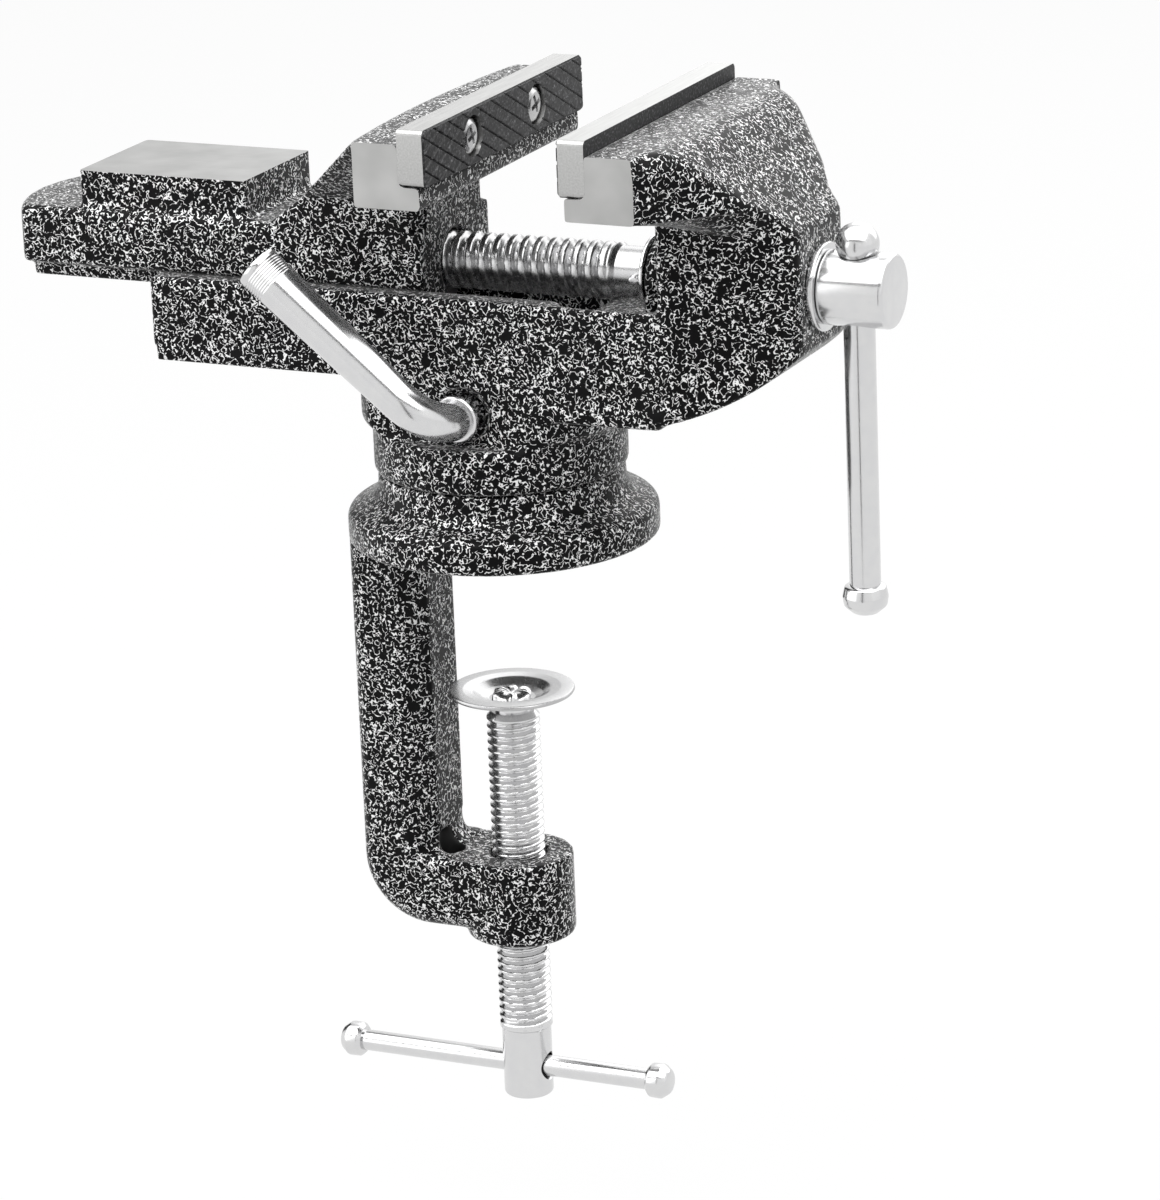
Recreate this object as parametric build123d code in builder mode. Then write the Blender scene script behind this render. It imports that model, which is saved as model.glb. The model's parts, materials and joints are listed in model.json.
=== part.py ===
from build123d import *
import math
import os

os.makedirs("parts", exist_ok=True)

# Clamp-on swivel bench vise, in millimetres.
# Origin: centre of the round flange's underside, on the swivel axis. +X runs along the lead
# screw towards its handle, +Y to the far ends of the jaws, +Z up.

# ------------------------------------------------------------------ clearances
running = 0.05          # radial, shaft in hole
seat_gap = 0.1          # flat faces that slide or turn on each other
free_gap = 0.3          # parts that pass each other
press = 0.02            # radial, pieces fixed in each other

# ------------------------------------------------------------------ clamp frame
flange_r = 34.4
flange_rim = 7.0
flange_flare = 10.0
neck_r = 27.3
seam_z = 15.9
rim_round = 2.6
flare_round = 5.0
post_r = 16.0
groove_depth = 1.8
groove_height = 8.6
pad_socket_r = 9.5
pad_socket_depth = 5.0

arm_depth = 13.4        # back section, along X; its back lies flush with the flange
arm_width = 23.0
web_depth = 4.3         # web on the throat side, bevelled to its face
web_face_width = 13.0
arm_fillet = 4.0
arm_round = 4.2
arm_corner = 16.0
throat_height = 75.0    # flange underside to the boss's top
lower_arm_height = 16.8
boss_r = 12.3
boss_height = 19.2
core_pocket_r = 2.9
core_pocket_depth = 4.0
core_pocket_offset = 3.2

# ------------------------------------------------------------------ clamp screw
clamp_thread_r = 6.0
clamp_pitch = 1.875
clamp_thread_top = -41.4
clamp_thread_length = 75.7
clamp_head_r = 5.6
clamp_head_length = 16.2
clamp_spigot_r = 4.0
clamp_spigot_length = 3.6
peen_r = 5.2
peen_height = 1.0
pad_r = 14.1
pad_rim_top = -36.3
pad_thickness = 1.2
pad_dish_r = 9.0
pad_floor_r = 6.4
tbar_r = 2.4
tbar_length = 79.6
tbar_shift = -5.6       # as stored, along the bar
tbar_drop = 9.3         # bar's axis below the top of the screw's head
knob_r = 4.0
knob_length = 5.5
knob_sink = 4.0         # bar's end inside each knob

# ------------------------------------------------------------------ fixed casting
hub_r = 28.0
hub_height = 10.0
hub_round = 1.2
seam_round = 1.0
pedestal_r = 30.2
pedestal_chamfer = 2.4
body_width = 42.8
body_rim_bottom = 39.2
body_rim_height = 2.9
body_rim_step = 0.6
body_rim_inset = 1.3
way_height = 18.8       # rim's bottom to the way's top
body_left = -74.1
channel_width = 30.0
channel_floor = 47.0
keeper_groove_width = 35.6
keeper_groove_end = 8.0
pocket_start = 22.4
pocket_end = 47.0
pocket_width = 38.0
pocket_depth = 5.6
throat_wall = 48.0
belly_bottom = 32.5
belly_start = 36.0
belly_rim_start = 16.0
nose_x = 77.0
nose_bottom = 48.8
nose_top = 75.3
nose_half = 13.8
wing_step = 1.2            # head's plan outside the trunk's, at the nose
nose_round = 3.5
nose_corner = 3.8
top_break = 57.5        # where the head's flat top starts down towards the nose
top_round = 10.0
crease_round = 5.0         # between the head's top and its slanting sides
cheek_drop = 3.1           # wing's underside, from its tip to the throat wall
cheek_tilt = 15.0          # degrees, its foot line down towards the nose
screw_boss_r = 8.7
screw_boss_face = 39.3

# ------------------------------------------------------------------ jaws
jaw_width = 80.0
jaw_gap = 30.3
front_face = 34.8       # gripping face of the fixed jaw
jaw_block_depth = 17.0  # gripping face to the back of the machined end
block_setback = 1.6     # casting below the plate, behind the gripping face
block_bottom = 81.9
casting_top = 96.0
plate_thickness = 6.4
plate_height = 12.4
plate_proud = 3.2
plate_chamfer = 0.4
plate_corner = 1.2
plate_screw_span = 32.0
plate_screw_r = 2.5
plate_screw_length = 16.0
plate_head_r = 3.9
plate_head_height = 2.6
plate_recess_r = 4.5
plate_recess_depth = 3.0

# ------------------------------------------------------------------ moving casting
slide_width = 35.0
slide_height = 12.9
slide_front_setback = 13.4  # gripping face to the neck's front
slide_reach = 111.9         # gripping face to the slide's far corners
slide_end_bulge = 5.6
slide_round = 1.6
tongue_height = 3.4
tongue_end_setback = 0.4
anvil_start = 56.5          # from the gripping face
anvil_length = 41.2
anvil_width = 31.2
anvil_height = 8.5
anvil_round = 2.0
rear_slope_run = 24.6        # from the block's back to where the slope meets the slide's sides
rear_slope_drop = 18.7
rear_top_bulge = 2.4
neck_width = 27.0
neck_flare = 4.2
screw_hollow_r = 7.2
screw_hollow_end = 99.0     # from the gripping face
screw_mouth_r = 7.0
nut_length = 20.0
nut_width = 18.0
nut_top_wall = 1.6
nut_setback = 17.5          # gripping face to the nut's front
keeper_setback = 38.5       # gripping face to the keeper's front
keeper_length = 20.0
keeper_thickness = 3.3
keeper_screw_span = 22.0
keeper_screw_r = 2.0
keeper_screw_length = 11.0
keeper_head_r = 3.6

# ------------------------------------------------------------------ lead screw
screw_z = 61.3
lead_thread_r = 6.35
lead_pitch = 3.175         # jaw's travel for one turn
lead_thread_start = -62.0
lead_thread_end = 31.0
lead_neck_r = 5.7
lead_head_r = 8.1
lead_head_length = 15.0
thrust_r = 9.6
thrust_thickness = 1.5
retainer_r = 8.3
retainer_thickness = 1.0
pin_r = 1.5
pin_length = 15.0
handle_r = 3.4
handle_setback = 6.7        # bar's axis from the head's inner face
handle_hole_gap = 0.1
handle_hole_flare = 1.6
ball_r = 4.7
ball_bore_depth = 3.2
handle_drop = 78.2          # ball's centre to the knob's centre
handle_knob_r = 4.85
handle_knob_length = 6.5

# ------------------------------------------------------------------ swivel bolt and lock
bolt_r = 4.0
bolt_head_r = 6.5
bolt_head_height = 7.0
bolt_engagement = 6.0
bolt_recess_r = 7.4
swivel_washer_r = 7.1
swivel_washer_thickness = 1.2
lock_x = 1.5
lock_z = 32.5
lever_r = 4.3              # short leg and bend
lever_tip_r = 5.15
lever_stem_r = 4.0
lever_collar_r = 5.2
lever_collar_proud = 4.4
lever_collar_thickness = 1.8
lock_recess_r = 5.9
lock_recess_depth = 2.5
lever_offset = 14.6         # long leg's axis from the pedestal's flat side
lever_bend = 10.4
lever_length = 53.0
lever_rise = 40.0           # degrees above the slideway
lock_pad_r = 3.9
lock_pad_length = 3.4

# ------------------------------------------------------------------ levels and places
hub_bottom = seam_z + seat_gap
hub_top = seam_z + hub_height
way_top = body_rim_bottom + way_height
side_bottom = body_rim_bottom + body_rim_height
body_half = body_width / 2
jaw_half = jaw_width / 2
pedestal_edge = math.sqrt(pedestal_r ** 2 - body_half ** 2)
plate_top = casting_top + plate_proud
plate_bottom = plate_top - plate_height
plate_mid = (plate_top + plate_bottom) / 2
rear_face = front_face - jaw_gap

groove_bottom = lock_z - groove_height / 2
groove_top = lock_z + groove_height / 2
post_top = groove_top + groove_depth
cavity_top = post_top + free_gap
pocket_floor = way_top - pocket_depth

arm_bottom = -throat_height - lower_arm_height
boss_bottom = -throat_height - boss_height
arm_back = flange_r
arm_inner = arm_back - arm_depth
web_face = arm_inner - web_depth

lead_depth = lead_pitch / 2
clamp_depth = clamp_pitch * 0.6
head_back = nose_x + seat_gap + thrust_thickness + seat_gap
handle_x = head_back + handle_setback


def corner(sketch, x, y):
    """The sketch's vertex nearest to a point of its own plane."""
    return sketch.vertices().sort_by_distance((x, y))[0]


def x_plane(x, z=screw_z):
    """A plane square to the lead screw, local x along -Y, local y up, facing +X."""
    return Plane(origin=(x, 0, z), x_dir=(0, 1, 0), z_dir=(1, 0, 0))


# ================================================================== clamp frame
with BuildPart() as clamp_frame:
    with BuildSketch(Plane.XZ) as bracket:
        with BuildLine():
            Polyline((-arm_back, flange_rim / 2), (-arm_back, arm_bottom), (0, arm_bottom),
                     (0, -throat_height), (-web_face, -throat_height),
                     (-web_face, flange_rim / 2), close=True)
        make_face()
        fillet(corner(bracket, -arm_back, arm_bottom), arm_corner)
        fillet(corner(bracket, -web_face, -throat_height), arm_fillet)
    extrude(amount=arm_width / 2, both=True)
    outer = clamp_frame.edges().filter_by(
        lambda e: abs(abs(e.center().Y) - arm_width / 2) < 0.01
        and (e.center().X < -arm_back + arm_corner * 0.4 or e.center().Z < arm_bottom + 0.01))
    fillet(outer, arm_round)
    # the web narrows to its face, with a step where it leaves the back section
    bevel = (arm_width - web_face_width) / 2
    for way in (1, -1):
        with BuildSketch(Plane.XY.offset(-throat_height)):
            with BuildLine():
                Polyline((-web_face + 1, way * (arm_width / 2 - bevel)),
                         (-web_face, way * (arm_width / 2 - bevel)),
                         (-arm_inner + 1, way * (arm_width / 2 - 1)),
                         (-arm_inner + 1, way * (arm_width / 2 + 1)),
                         (-web_face + 1, way * (arm_width / 2 + 1)), close=True)
            make_face()
        extrude(amount=throat_height, mode=Mode.SUBTRACT)
    with BuildSketch(Plane.XY.offset(boss_bottom)):
        Circle(boss_r)
    extrude(amount=boss_height)
    fillet(clamp_frame.edges().filter_by(GeomType.CIRCLE).group_by(Axis.Z)[0], 1.2)
    with BuildSketch(Plane.XZ) as seat:
        with BuildLine():
            Polyline((0, 0), (flange_r, 0), (flange_r, flange_rim), (neck_r, flange_flare),
                     (neck_r, seam_z), (post_r, seam_z), (post_r, groove_bottom - groove_depth),
                     (post_r - groove_depth, groove_bottom), (post_r - groove_depth, groove_top),
                     (post_r, post_top), (0, post_top), close=True)
        make_face()
        fillet(corner(seat, flange_r, flange_rim), rim_round)
        fillet(corner(seat, flange_r, 0), 0.8)
        fillet(corner(seat, neck_r, flange_flare), flare_round)
        fillet(corner(seat, neck_r, seam_z), seam_round)
    revolve(axis=Axis.Z)
    # bolt hole, bolt head's recess and the pad's socket, all from below
    with BuildSketch(Plane.XY):
        Circle(pad_socket_r)
    extrude(amount=pad_socket_depth, mode=Mode.SUBTRACT)
    with BuildSketch(Plane.XY.offset(pad_socket_depth)):
        Circle(bolt_recess_r)
    extrude(amount=bolt_head_height + swivel_washer_thickness + 3 * seat_gap, mode=Mode.SUBTRACT)
    with BuildSketch(Plane.XY.offset(pad_socket_depth)):
        Circle(bolt_r + running)
    extrude(amount=post_top, mode=Mode.SUBTRACT)
    # screw bore and the small cored pocket at the arm's foot
    with BuildSketch(Plane.XY.offset(boss_bottom)):
        Circle(clamp_thread_r + running)
    extrude(amount=boss_height, mode=Mode.SUBTRACT)
    with BuildSketch(Plane.XY.offset(-throat_height - core_pocket_depth)):
        with Locations((-web_face + core_pocket_r / 2, -core_pocket_offset)):
            Circle(core_pocket_r)
    extrude(amount=core_pocket_depth + web_depth, mode=Mode.SUBTRACT)
clamp_frame.part.label = "clamp_frame"
export_step(clamp_frame.part, "parts/clamp_frame.step")

# ================================================================== fixed casting
block_back = front_face + jaw_block_depth
plate_seat = front_face + plate_thickness
side_run = (jaw_half - nose_half - wing_step) / (nose_x - block_back)
wedge_half = jaw_half + (block_back - plate_seat) * side_run
belly_radius = ((nose_x - belly_start) ** 2 + (nose_bottom - belly_bottom) ** 2) \
    / (2 * (nose_bottom - belly_bottom))
belly_turn = math.degrees(math.asin((nose_x - belly_start) / belly_radius))


def trunk_plan(left, step):
    """The trunk in plan, from x = left to the nose, with its rounded corners moved out by step."""
    with BuildSketch(Plane.XY) as plan:
        with BuildLine():
            Polyline((left, -body_half - step), (throat_wall + 2, -body_half - step),
                     (nose_x, -nose_half - step), (nose_x, nose_half + step),
                     (throat_wall + 2, body_half + step), (left, body_half + step), close=True)
        make_face()
        fillet(corner(plan, nose_x, -nose_half - step), nose_corner)
        fillet(corner(plan, nose_x, nose_half + step), nose_corner)
    return plan.sketch


rim_face = trunk_plan(belly_rim_start, body_rim_step)
trunk_face = trunk_plan(throat_wall, 0).moved(Location((0, 0, belly_bottom - 1)))
with BuildPart() as belly_rim:
    with BuildSketch(Plane.XZ):
        with BuildLine():
            low = Line((0, belly_bottom), (belly_start, belly_bottom))
            curve = CenterArc((belly_start, belly_bottom + belly_radius), belly_radius,
                              -90, belly_turn)
            rise = CenterArc((belly_start, belly_bottom + belly_radius),
                             belly_radius - body_rim_height, -90, belly_turn)
            high = Line((belly_start, belly_bottom + body_rim_height),
                        (0, belly_bottom + body_rim_height))
            Line(curve @ 1, rise @ 1)
            Line(high @ 1, low @ 0)
        make_face()
    extrude(amount=body_half + body_rim_step, both=True)
    add(rim_face)
    extrude(amount=casting_top, mode=Mode.INTERSECT)

with BuildPart() as hub:
    with BuildSketch(Plane.XY.offset(hub_bottom)):
        Circle(hub_r)
    extrude(amount=hub_top - hub_bottom)
    fillet(hub.edges().group_by(Axis.Z)[0], seam_round)
    fillet(hub.edges().group_by(Axis.Z)[-1], hub_round)
    with BuildSketch(Plane.XY.offset(hub_top - hub_round)):
        Circle(hub_r - hub_round)
        Rectangle(3 * hub_r, body_width, mode=Mode.INTERSECT)
    extrude(amount=hub_round + 1)

with BuildPart() as wedge:
    # the head in plan, as deep as the whole casting, cut to the side view, its creases rounded
    with BuildSketch(Plane.XY.offset(belly_bottom - 1)):
        with BuildLine():
            Polyline((plate_seat, -wedge_half), (nose_x, -nose_half - wing_step),
                     (nose_x, nose_half + wing_step), (plate_seat, wedge_half), close=True)
        make_face()
    extrude(amount=casting_top - belly_bottom + 1)
    with BuildSketch(Plane.XZ) as view:
        with BuildLine():
            belly = CenterArc((belly_start, belly_bottom + belly_radius), belly_radius,
                              -90, belly_turn)
            Polyline(belly @ 1, (nose_x, nose_top), (top_break, casting_top),
                     (0, casting_top), (0, belly_bottom), belly @ 0)
        make_face()
        fillet(corner(view, top_break, casting_top), top_round)
    extrude(amount=wedge_half + 1, both=True, mode=Mode.INTERSECT)
    sides = wedge.faces().filter_by(lambda f: abs(f.normal_at().Y) > 0.4
                                    and abs(f.normal_at().X) > 0.4)
    creases = [e for f in sides for e in f.edges()
               if e.center().Z > nose_top + 1 and abs(e.tangent_at(0.5).Z) < 0.99]
    fillet(creases, crease_round)

with BuildPart() as vise_body:
    # trunk in plan, cheeks under the head's wings, then cut to the wedge
    add(trunk_face)
    extrude(amount=block_bottom - belly_bottom + 1)
    with BuildSketch(Plane.XY.offset(block_bottom)):
        with BuildLine():
            Polyline((throat_wall, -jaw_half + 0.5), (block_back, -jaw_half + 0.5),
                     (nose_x - 1, -nose_half), (nose_x - 1, nose_half),
                     (block_back, jaw_half - 0.5), (throat_wall, jaw_half - 0.5), close=True)
        make_face()
    tilt = math.radians(cheek_tilt)
    foot = Plane(origin=(throat_wall, 0, block_bottom - cheek_drop),
                 x_dir=(math.cos(tilt), 0, -math.sin(tilt)),
                 z_dir=(math.sin(tilt), 0, math.cos(tilt)))
    with BuildSketch(foot):
        with BuildLine():
            reach = (nose_x - 2 - throat_wall) / math.cos(tilt)
            Polyline((0, -body_half), (4, -body_half), (reach, -nose_half + 1),
                     (reach, nose_half - 1), (4, body_half), (0, body_half), close=True)
        make_face()
    loft(ruled=True)
    with BuildSketch(Plane.XY.offset(block_bottom)):
        with Locations(((plate_seat + nose_x) / 2, 0)):
            Rectangle(nose_x - plate_seat, jaw_width)
    extrude(amount=casting_top - block_bottom)
    add(wedge.part, mode=Mode.INTERSECT)
    # jaw block below the plate
    with BuildSketch(Plane.XY.offset(block_bottom)):
        with Locations(((front_face + block_setback + block_back) / 2, 0)):
            Rectangle(jaw_block_depth - block_setback, jaw_width)
    extrude(amount=plate_bottom - block_bottom)
    with BuildSketch(Plane.XY.offset(block_bottom)):
        with Locations(((plate_seat + block_back) / 2, 0)):
            Rectangle(block_back - plate_seat, jaw_width)
    extrude(amount=casting_top - block_bottom)
    # slideway, its rim, the belly's rim and floor
    with BuildSketch(Plane.XY.offset(side_bottom)):
        with Locations(((body_left + throat_wall + 4) / 2, 0)):
            Rectangle(throat_wall + 4 - body_left, body_width)
    extrude(amount=way_top - side_bottom)
    with BuildSketch(Plane.XY.offset(body_rim_bottom)):
        with Locations(((body_left + body_rim_inset - pedestal_edge) / 2, 0)):
            Rectangle(-pedestal_edge - body_left - body_rim_inset,
                      body_width + 2 * body_rim_step)
    extrude(amount=body_rim_height)
    with BuildSketch(Plane.XY.offset(belly_bottom)):
        with Locations((throat_wall / 2, 0)):
            Rectangle(throat_wall, body_width)
    extrude(amount=side_bottom - belly_bottom)
    add(belly_rim.part)
    # round pedestal with two flat sides, and the hub under it
    with BuildSketch(Plane.XY.offset(hub_top)) as pedestal:
        Circle(pedestal_r)
        Rectangle(3 * pedestal_r, body_width, mode=Mode.INTERSECT)
    extrude(amount=side_bottom - hub_top)
    lower = vise_body.edges().filter_by(GeomType.CIRCLE).filter_by(
        lambda e: abs(e.center().Z - hub_top) < 0.01 and abs(e.radius - pedestal_r) < 0.01)
    chamfer(lower, pedestal_chamfer)
    add(hub.part)
    # boss on the throat wall
    with BuildSketch(x_plane(screw_boss_face)):
        Circle(screw_boss_r)
    extrude(amount=throat_wall - screw_boss_face + 1)
    # way between the rails, groove for the keeper, and the run-out pocket
    with BuildSketch(Plane.XY.offset(channel_floor)):
        with Locations(((body_left + pocket_start) / 2 - 1, 0)):
            Rectangle(pocket_start - body_left + 4, channel_width)
    extrude(amount=way_top - channel_floor + 1, mode=Mode.SUBTRACT)
    with BuildSketch(Plane.XY.offset(channel_floor)):
        with Locations(((body_left + keeper_groove_end) / 2 - 1, 0)):
            Rectangle(keeper_groove_end - body_left + 2, keeper_groove_width)
    extrude(amount=way_top - tongue_height + free_gap - channel_floor, mode=Mode.SUBTRACT)
    with BuildSketch(Plane.XY.offset(pocket_floor)):
        with Locations(((pocket_start + pocket_end) / 2, 0)):
            RectangleRounded(pocket_end - pocket_start, pocket_width, 6)
        with Locations((screw_boss_face + screw_boss_r, 0)):
            Rectangle(2 * screw_boss_r, 2 * screw_boss_r, mode=Mode.SUBTRACT)
    extrude(amount=pocket_depth + 1, mode=Mode.SUBTRACT)
    # lead screw's bore
    with BuildSketch(x_plane(screw_boss_face - 1)):
        Circle(lead_thread_r + running)
    extrude(amount=nose_x - screw_boss_face + 2, mode=Mode.SUBTRACT)
    # post's cavity and the bolt's thread
    with BuildSketch(Plane.XY.offset(hub_bottom)):
        Circle(post_r + running)
    extrude(amount=cavity_top - hub_bottom, mode=Mode.SUBTRACT)
    with BuildSketch(Plane.XY.offset(cavity_top)):
        Circle(bolt_r + press)
    extrude(amount=bolt_engagement + free_gap, mode=Mode.SUBTRACT)
    # lock stem's hole with its recess
    with BuildSketch(Plane.XZ.offset(body_half)):
        with Locations((lock_x, lock_z)):
            Circle(lever_stem_r + running)
    extrude(amount=-body_half, mode=Mode.SUBTRACT)
    with BuildSketch(Plane.XZ.offset(body_half)):
        with Locations((lock_x, lock_z)):
            Circle(lock_recess_r)
    extrude(amount=-lock_recess_depth, mode=Mode.SUBTRACT)
    # plate screws' holes
    with BuildSketch(x_plane(plate_seat, plate_mid)):
        with GridLocations(plate_screw_span, 0, 2, 1):
            Circle(plate_screw_r + press)
    extrude(amount=plate_screw_length - plate_thickness, mode=Mode.SUBTRACT)
vise_body.part.label = "vise_body"
export_step(vise_body.part, "parts/vise_body.step")

# ================================================================== moving casting
slide_top = way_top + slide_height
anvil_top = slide_top + anvil_height
rear_block_back = rear_face - jaw_block_depth
rear_seat = rear_face - plate_thickness
neck_front = rear_face - slide_front_setback
slide_end = rear_face - slide_reach
tongue_bottom = way_top - tongue_height
nut_front = rear_face - nut_setback
nut_top = slide_top - nut_top_wall
slope_foot = rear_block_back - rear_slope_run
slope_z = casting_top - rear_slope_drop
slope_toe = slope_foot - (slope_z - slide_top + slide_round) * rear_slope_run / rear_slope_drop

with BuildPart() as moving_jaw:
    with BuildSketch(Plane.XY.offset(way_top)):
        with BuildLine():
            tail = ThreePointArc((slide_end, slide_width / 2), (slide_end - slide_end_bulge, 0),
                                 (slide_end, -slide_width / 2))
            Polyline(tail @ 1, (neck_front, -slide_width / 2), (neck_front, slide_width / 2),
                     tail @ 0)
        make_face()
    extrude(amount=slide_height)
    fillet(moving_jaw.edges().group_by(Axis.Z)[-1], slide_round)
    with BuildSketch(Plane.XY.offset(slide_top - slide_round)):
        with Locations((rear_face - anvil_start - anvil_length / 2, 0)):
            Rectangle(anvil_length, anvil_width)
    extrude(amount=anvil_height + slide_round)
    # rear jaw: wide at the top, as narrow as the slide at its foot
    levels = ((casting_top, rear_block_back, rear_top_bulge, jaw_half),
              (slope_z, slope_foot, rear_top_bulge / 2, slide_width / 2),
              (slide_top - slide_round, slope_toe, rear_top_bulge / 2, slide_width / 2))
    for upper, lower in ((0, 1), (1, 2)):
        for z, back, bulge, half in (levels[upper], levels[lower]):
            with BuildSketch(Plane.XY.offset(z)):
                with BuildLine():
                    crest = ThreePointArc((back, half), (back - bulge, 0), (back, -half))
                    Polyline(crest @ 1, (rear_seat, -half), (rear_seat, half), crest @ 0)
                make_face()
        loft(ruled=True)
    # clear the space under the jaw's wings and in front of the neck
    with BuildSketch(Plane.XY.offset(slide_top)):
        with Locations((rear_block_back + jaw_width / 2, 0)):
            Rectangle(jaw_width, jaw_width + 2)
        with BuildLine():
            Polyline((neck_front, -neck_width / 2), (rear_block_back, -neck_width / 2 - neck_flare),
                     (rear_block_back - 1, -neck_width / 2 - neck_flare),
                     (rear_block_back - 1, neck_width / 2 + neck_flare),
                     (rear_block_back, neck_width / 2 + neck_flare), (neck_front, neck_width / 2),
                     close=True)
        make_face(mode=Mode.SUBTRACT)
    extrude(amount=block_bottom - slide_top, mode=Mode.SUBTRACT)
    with BuildSketch(Plane.XY.offset(way_top)):
        with Locations((neck_front + jaw_width / 2, 0)):
            Rectangle(jaw_width, jaw_width + 2)
    extrude(amount=slide_top - way_top, mode=Mode.SUBTRACT)
    # machined block across the jaw, stepped back behind the plate
    with BuildSketch(Plane.XY.offset(block_bottom)):
        with Locations(((rear_block_back + rear_face - block_setback) / 2, 0)):
            Rectangle(jaw_block_depth - block_setback, jaw_width)
    extrude(amount=plate_bottom - block_bottom)
    with BuildSketch(Plane.XY.offset(plate_bottom)):
        with Locations(((rear_block_back + rear_seat) / 2, 0)):
            Rectangle(rear_seat - rear_block_back, jaw_width)
    extrude(amount=casting_top - plate_bottom)
    # tongue between the rails
    with BuildSketch(Plane.XY.offset(tongue_bottom)):
        with Locations(((slide_end + tongue_end_setback + neck_front) / 2, 0)):
            Rectangle(neck_front - slide_end - tongue_end_setback,
                      channel_width - 2 * free_gap)
    extrude(amount=tongue_height)
    # hollow for the screw, nut's recess and the screw's mouth
    with BuildSketch(x_plane(rear_face - screw_hollow_end)):
        Circle(screw_hollow_r)
        with Locations((0, (tongue_bottom - screw_z) / 2 - 1)):
            Rectangle(2 * screw_hollow_r, screw_z - tongue_bottom + 2)
    extrude(amount=screw_hollow_end - nut_setback - nut_length, mode=Mode.SUBTRACT)
    with BuildSketch(Plane.XY.offset(tongue_bottom)):
        with Locations((nut_front - nut_length / 2, 0)):
            Rectangle(nut_length, nut_width + 2 * press)
    extrude(amount=nut_top - tongue_bottom, mode=Mode.SUBTRACT)
    with BuildSketch(x_plane(nut_front - 1)):
        Circle(screw_mouth_r)
    extrude(amount=neck_front - nut_front + 2, mode=Mode.SUBTRACT)
    # keeper screws' and plate screws' holes
    with BuildSketch(Plane.XY.offset(tongue_bottom)):
        with Locations((rear_face - keeper_setback - keeper_length / 2, 0)):
            with GridLocations(0, keeper_screw_span, 1, 2):
                Circle(keeper_screw_r + press)
    extrude(amount=keeper_screw_length - keeper_thickness + 1, mode=Mode.SUBTRACT)
    with BuildSketch(x_plane(rear_seat, plate_mid)):
        with GridLocations(plate_screw_span, 0, 2, 1):
            Circle(plate_screw_r + press)
    extrude(amount=-(plate_screw_length - plate_thickness), mode=Mode.SUBTRACT)
moving_jaw.part.label = "moving_jaw"
export_step(moving_jaw.part, "parts/moving_jaw.step")

with BuildPart() as lead_nut:
    with BuildSketch(Plane.XY.offset(tongue_bottom - keeper_thickness)):
        with Locations((nut_front - nut_length / 2, 0)):
            Rectangle(nut_length, nut_width)
    extrude(amount=nut_top - tongue_bottom + keeper_thickness)
    fillet(lead_nut.edges().filter_by(Axis.X).group_by(Axis.Z)[0], 3)
    with BuildSketch(x_plane(nut_front)):
        Circle(lead_thread_r + running)
    extrude(amount=-nut_length, mode=Mode.SUBTRACT)
lead_nut.part.label = "lead_nut"
export_step(lead_nut.part, "parts/lead_nut.step")

keeper_mid = rear_face - keeper_setback - keeper_length / 2
with BuildPart() as slide_keeper:
    with BuildSketch(Plane.XY.offset(tongue_bottom)):
        with Locations((keeper_mid, 0)):
            Rectangle(keeper_length, keeper_groove_width - 2 * free_gap)
    extrude(amount=-keeper_thickness)
    with Locations(Plane(origin=(keeper_mid, 0, tongue_bottom - keeper_thickness),
                         x_dir=(1, 0, 0), z_dir=(0, 0, -1))):
        with GridLocations(0, keeper_screw_span, 1, 2):
            CounterSinkHole(keeper_screw_r + press, keeper_head_r + press,
                            counter_sink_angle=90)
slide_keeper.part.label = "slide_keeper"
export_step(slide_keeper.part, "parts/slide_keeper.step")

with BuildPart() as keeper_screws:
    with BuildSketch(Plane.XZ) as profile:
        with BuildLine():
            Polyline((0, 0), (keeper_head_r, 0), (keeper_screw_r, keeper_head_r - keeper_screw_r),
                     (keeper_screw_r, keeper_screw_length), (0, keeper_screw_length), close=True)
        make_face()
    revolve(axis=Axis.Z)
keeper_screw = keeper_screws.part
with BuildPart() as keeper_screws:
    with Locations((keeper_mid, 0, tongue_bottom - keeper_thickness)):
        with GridLocations(0, keeper_screw_span, 1, 2):
            add(keeper_screw)
keeper_screws.part.label = "keeper_screws"
export_step(keeper_screws.part, "parts/keeper_screws.step")

# ================================================================== jaw plates and screws
def jaw_plate(face, out):
    """A plate whose gripping face lies at x = face and looks along out (+1 or -1)."""
    with BuildPart() as plate:
        with BuildSketch(Plane.XY.offset(plate_bottom)):
            with Locations((face - out * plate_thickness / 2, 0)):
                Rectangle(plate_thickness, jaw_width)
        extrude(amount=plate_height)
        fillet(plate.edges().filter_by(Axis.X), plate_corner)
        chamfer(plate.faces().sort_by(Axis((0, 0, 0), (out, 0, 0)))[-1].edges(), plate_chamfer)
        front = Plane(origin=(face, 0, plate_mid), x_dir=(0, out, 0), z_dir=(out, 0, 0))
        with BuildSketch(front):
            with GridLocations(plate_screw_span, 0, 2, 1):
                Circle(plate_recess_r)
        extrude(amount=-plate_recess_depth, mode=Mode.SUBTRACT)
        with BuildSketch(front):
            with GridLocations(plate_screw_span, 0, 2, 1):
                Circle(plate_screw_r + press)
        extrude(amount=-plate_thickness, mode=Mode.SUBTRACT)
    return plate.part


def plate_screws(face, out):
    """The two screws of a jaw plate, heads in the plate's recesses."""
    front = Plane(origin=(face - out * plate_recess_depth, 0, plate_mid),
                  x_dir=(0, out, 0), z_dir=(out, 0, 0))
    with BuildPart() as screws:
        with BuildSketch(front):
            with GridLocations(plate_screw_span, 0, 2, 1):
                Circle(plate_head_r)
        extrude(amount=plate_head_height)
        fillet(screws.edges().group_by(Axis((0, 0, 0), (out, 0, 0)))[-1], 0.8)
        with BuildSketch(front):
            with GridLocations(plate_screw_span, 0, 2, 1):
                Circle(plate_screw_r)
        extrude(amount=-(plate_screw_length - plate_recess_depth - 0.5))
    return screws.part


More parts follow.
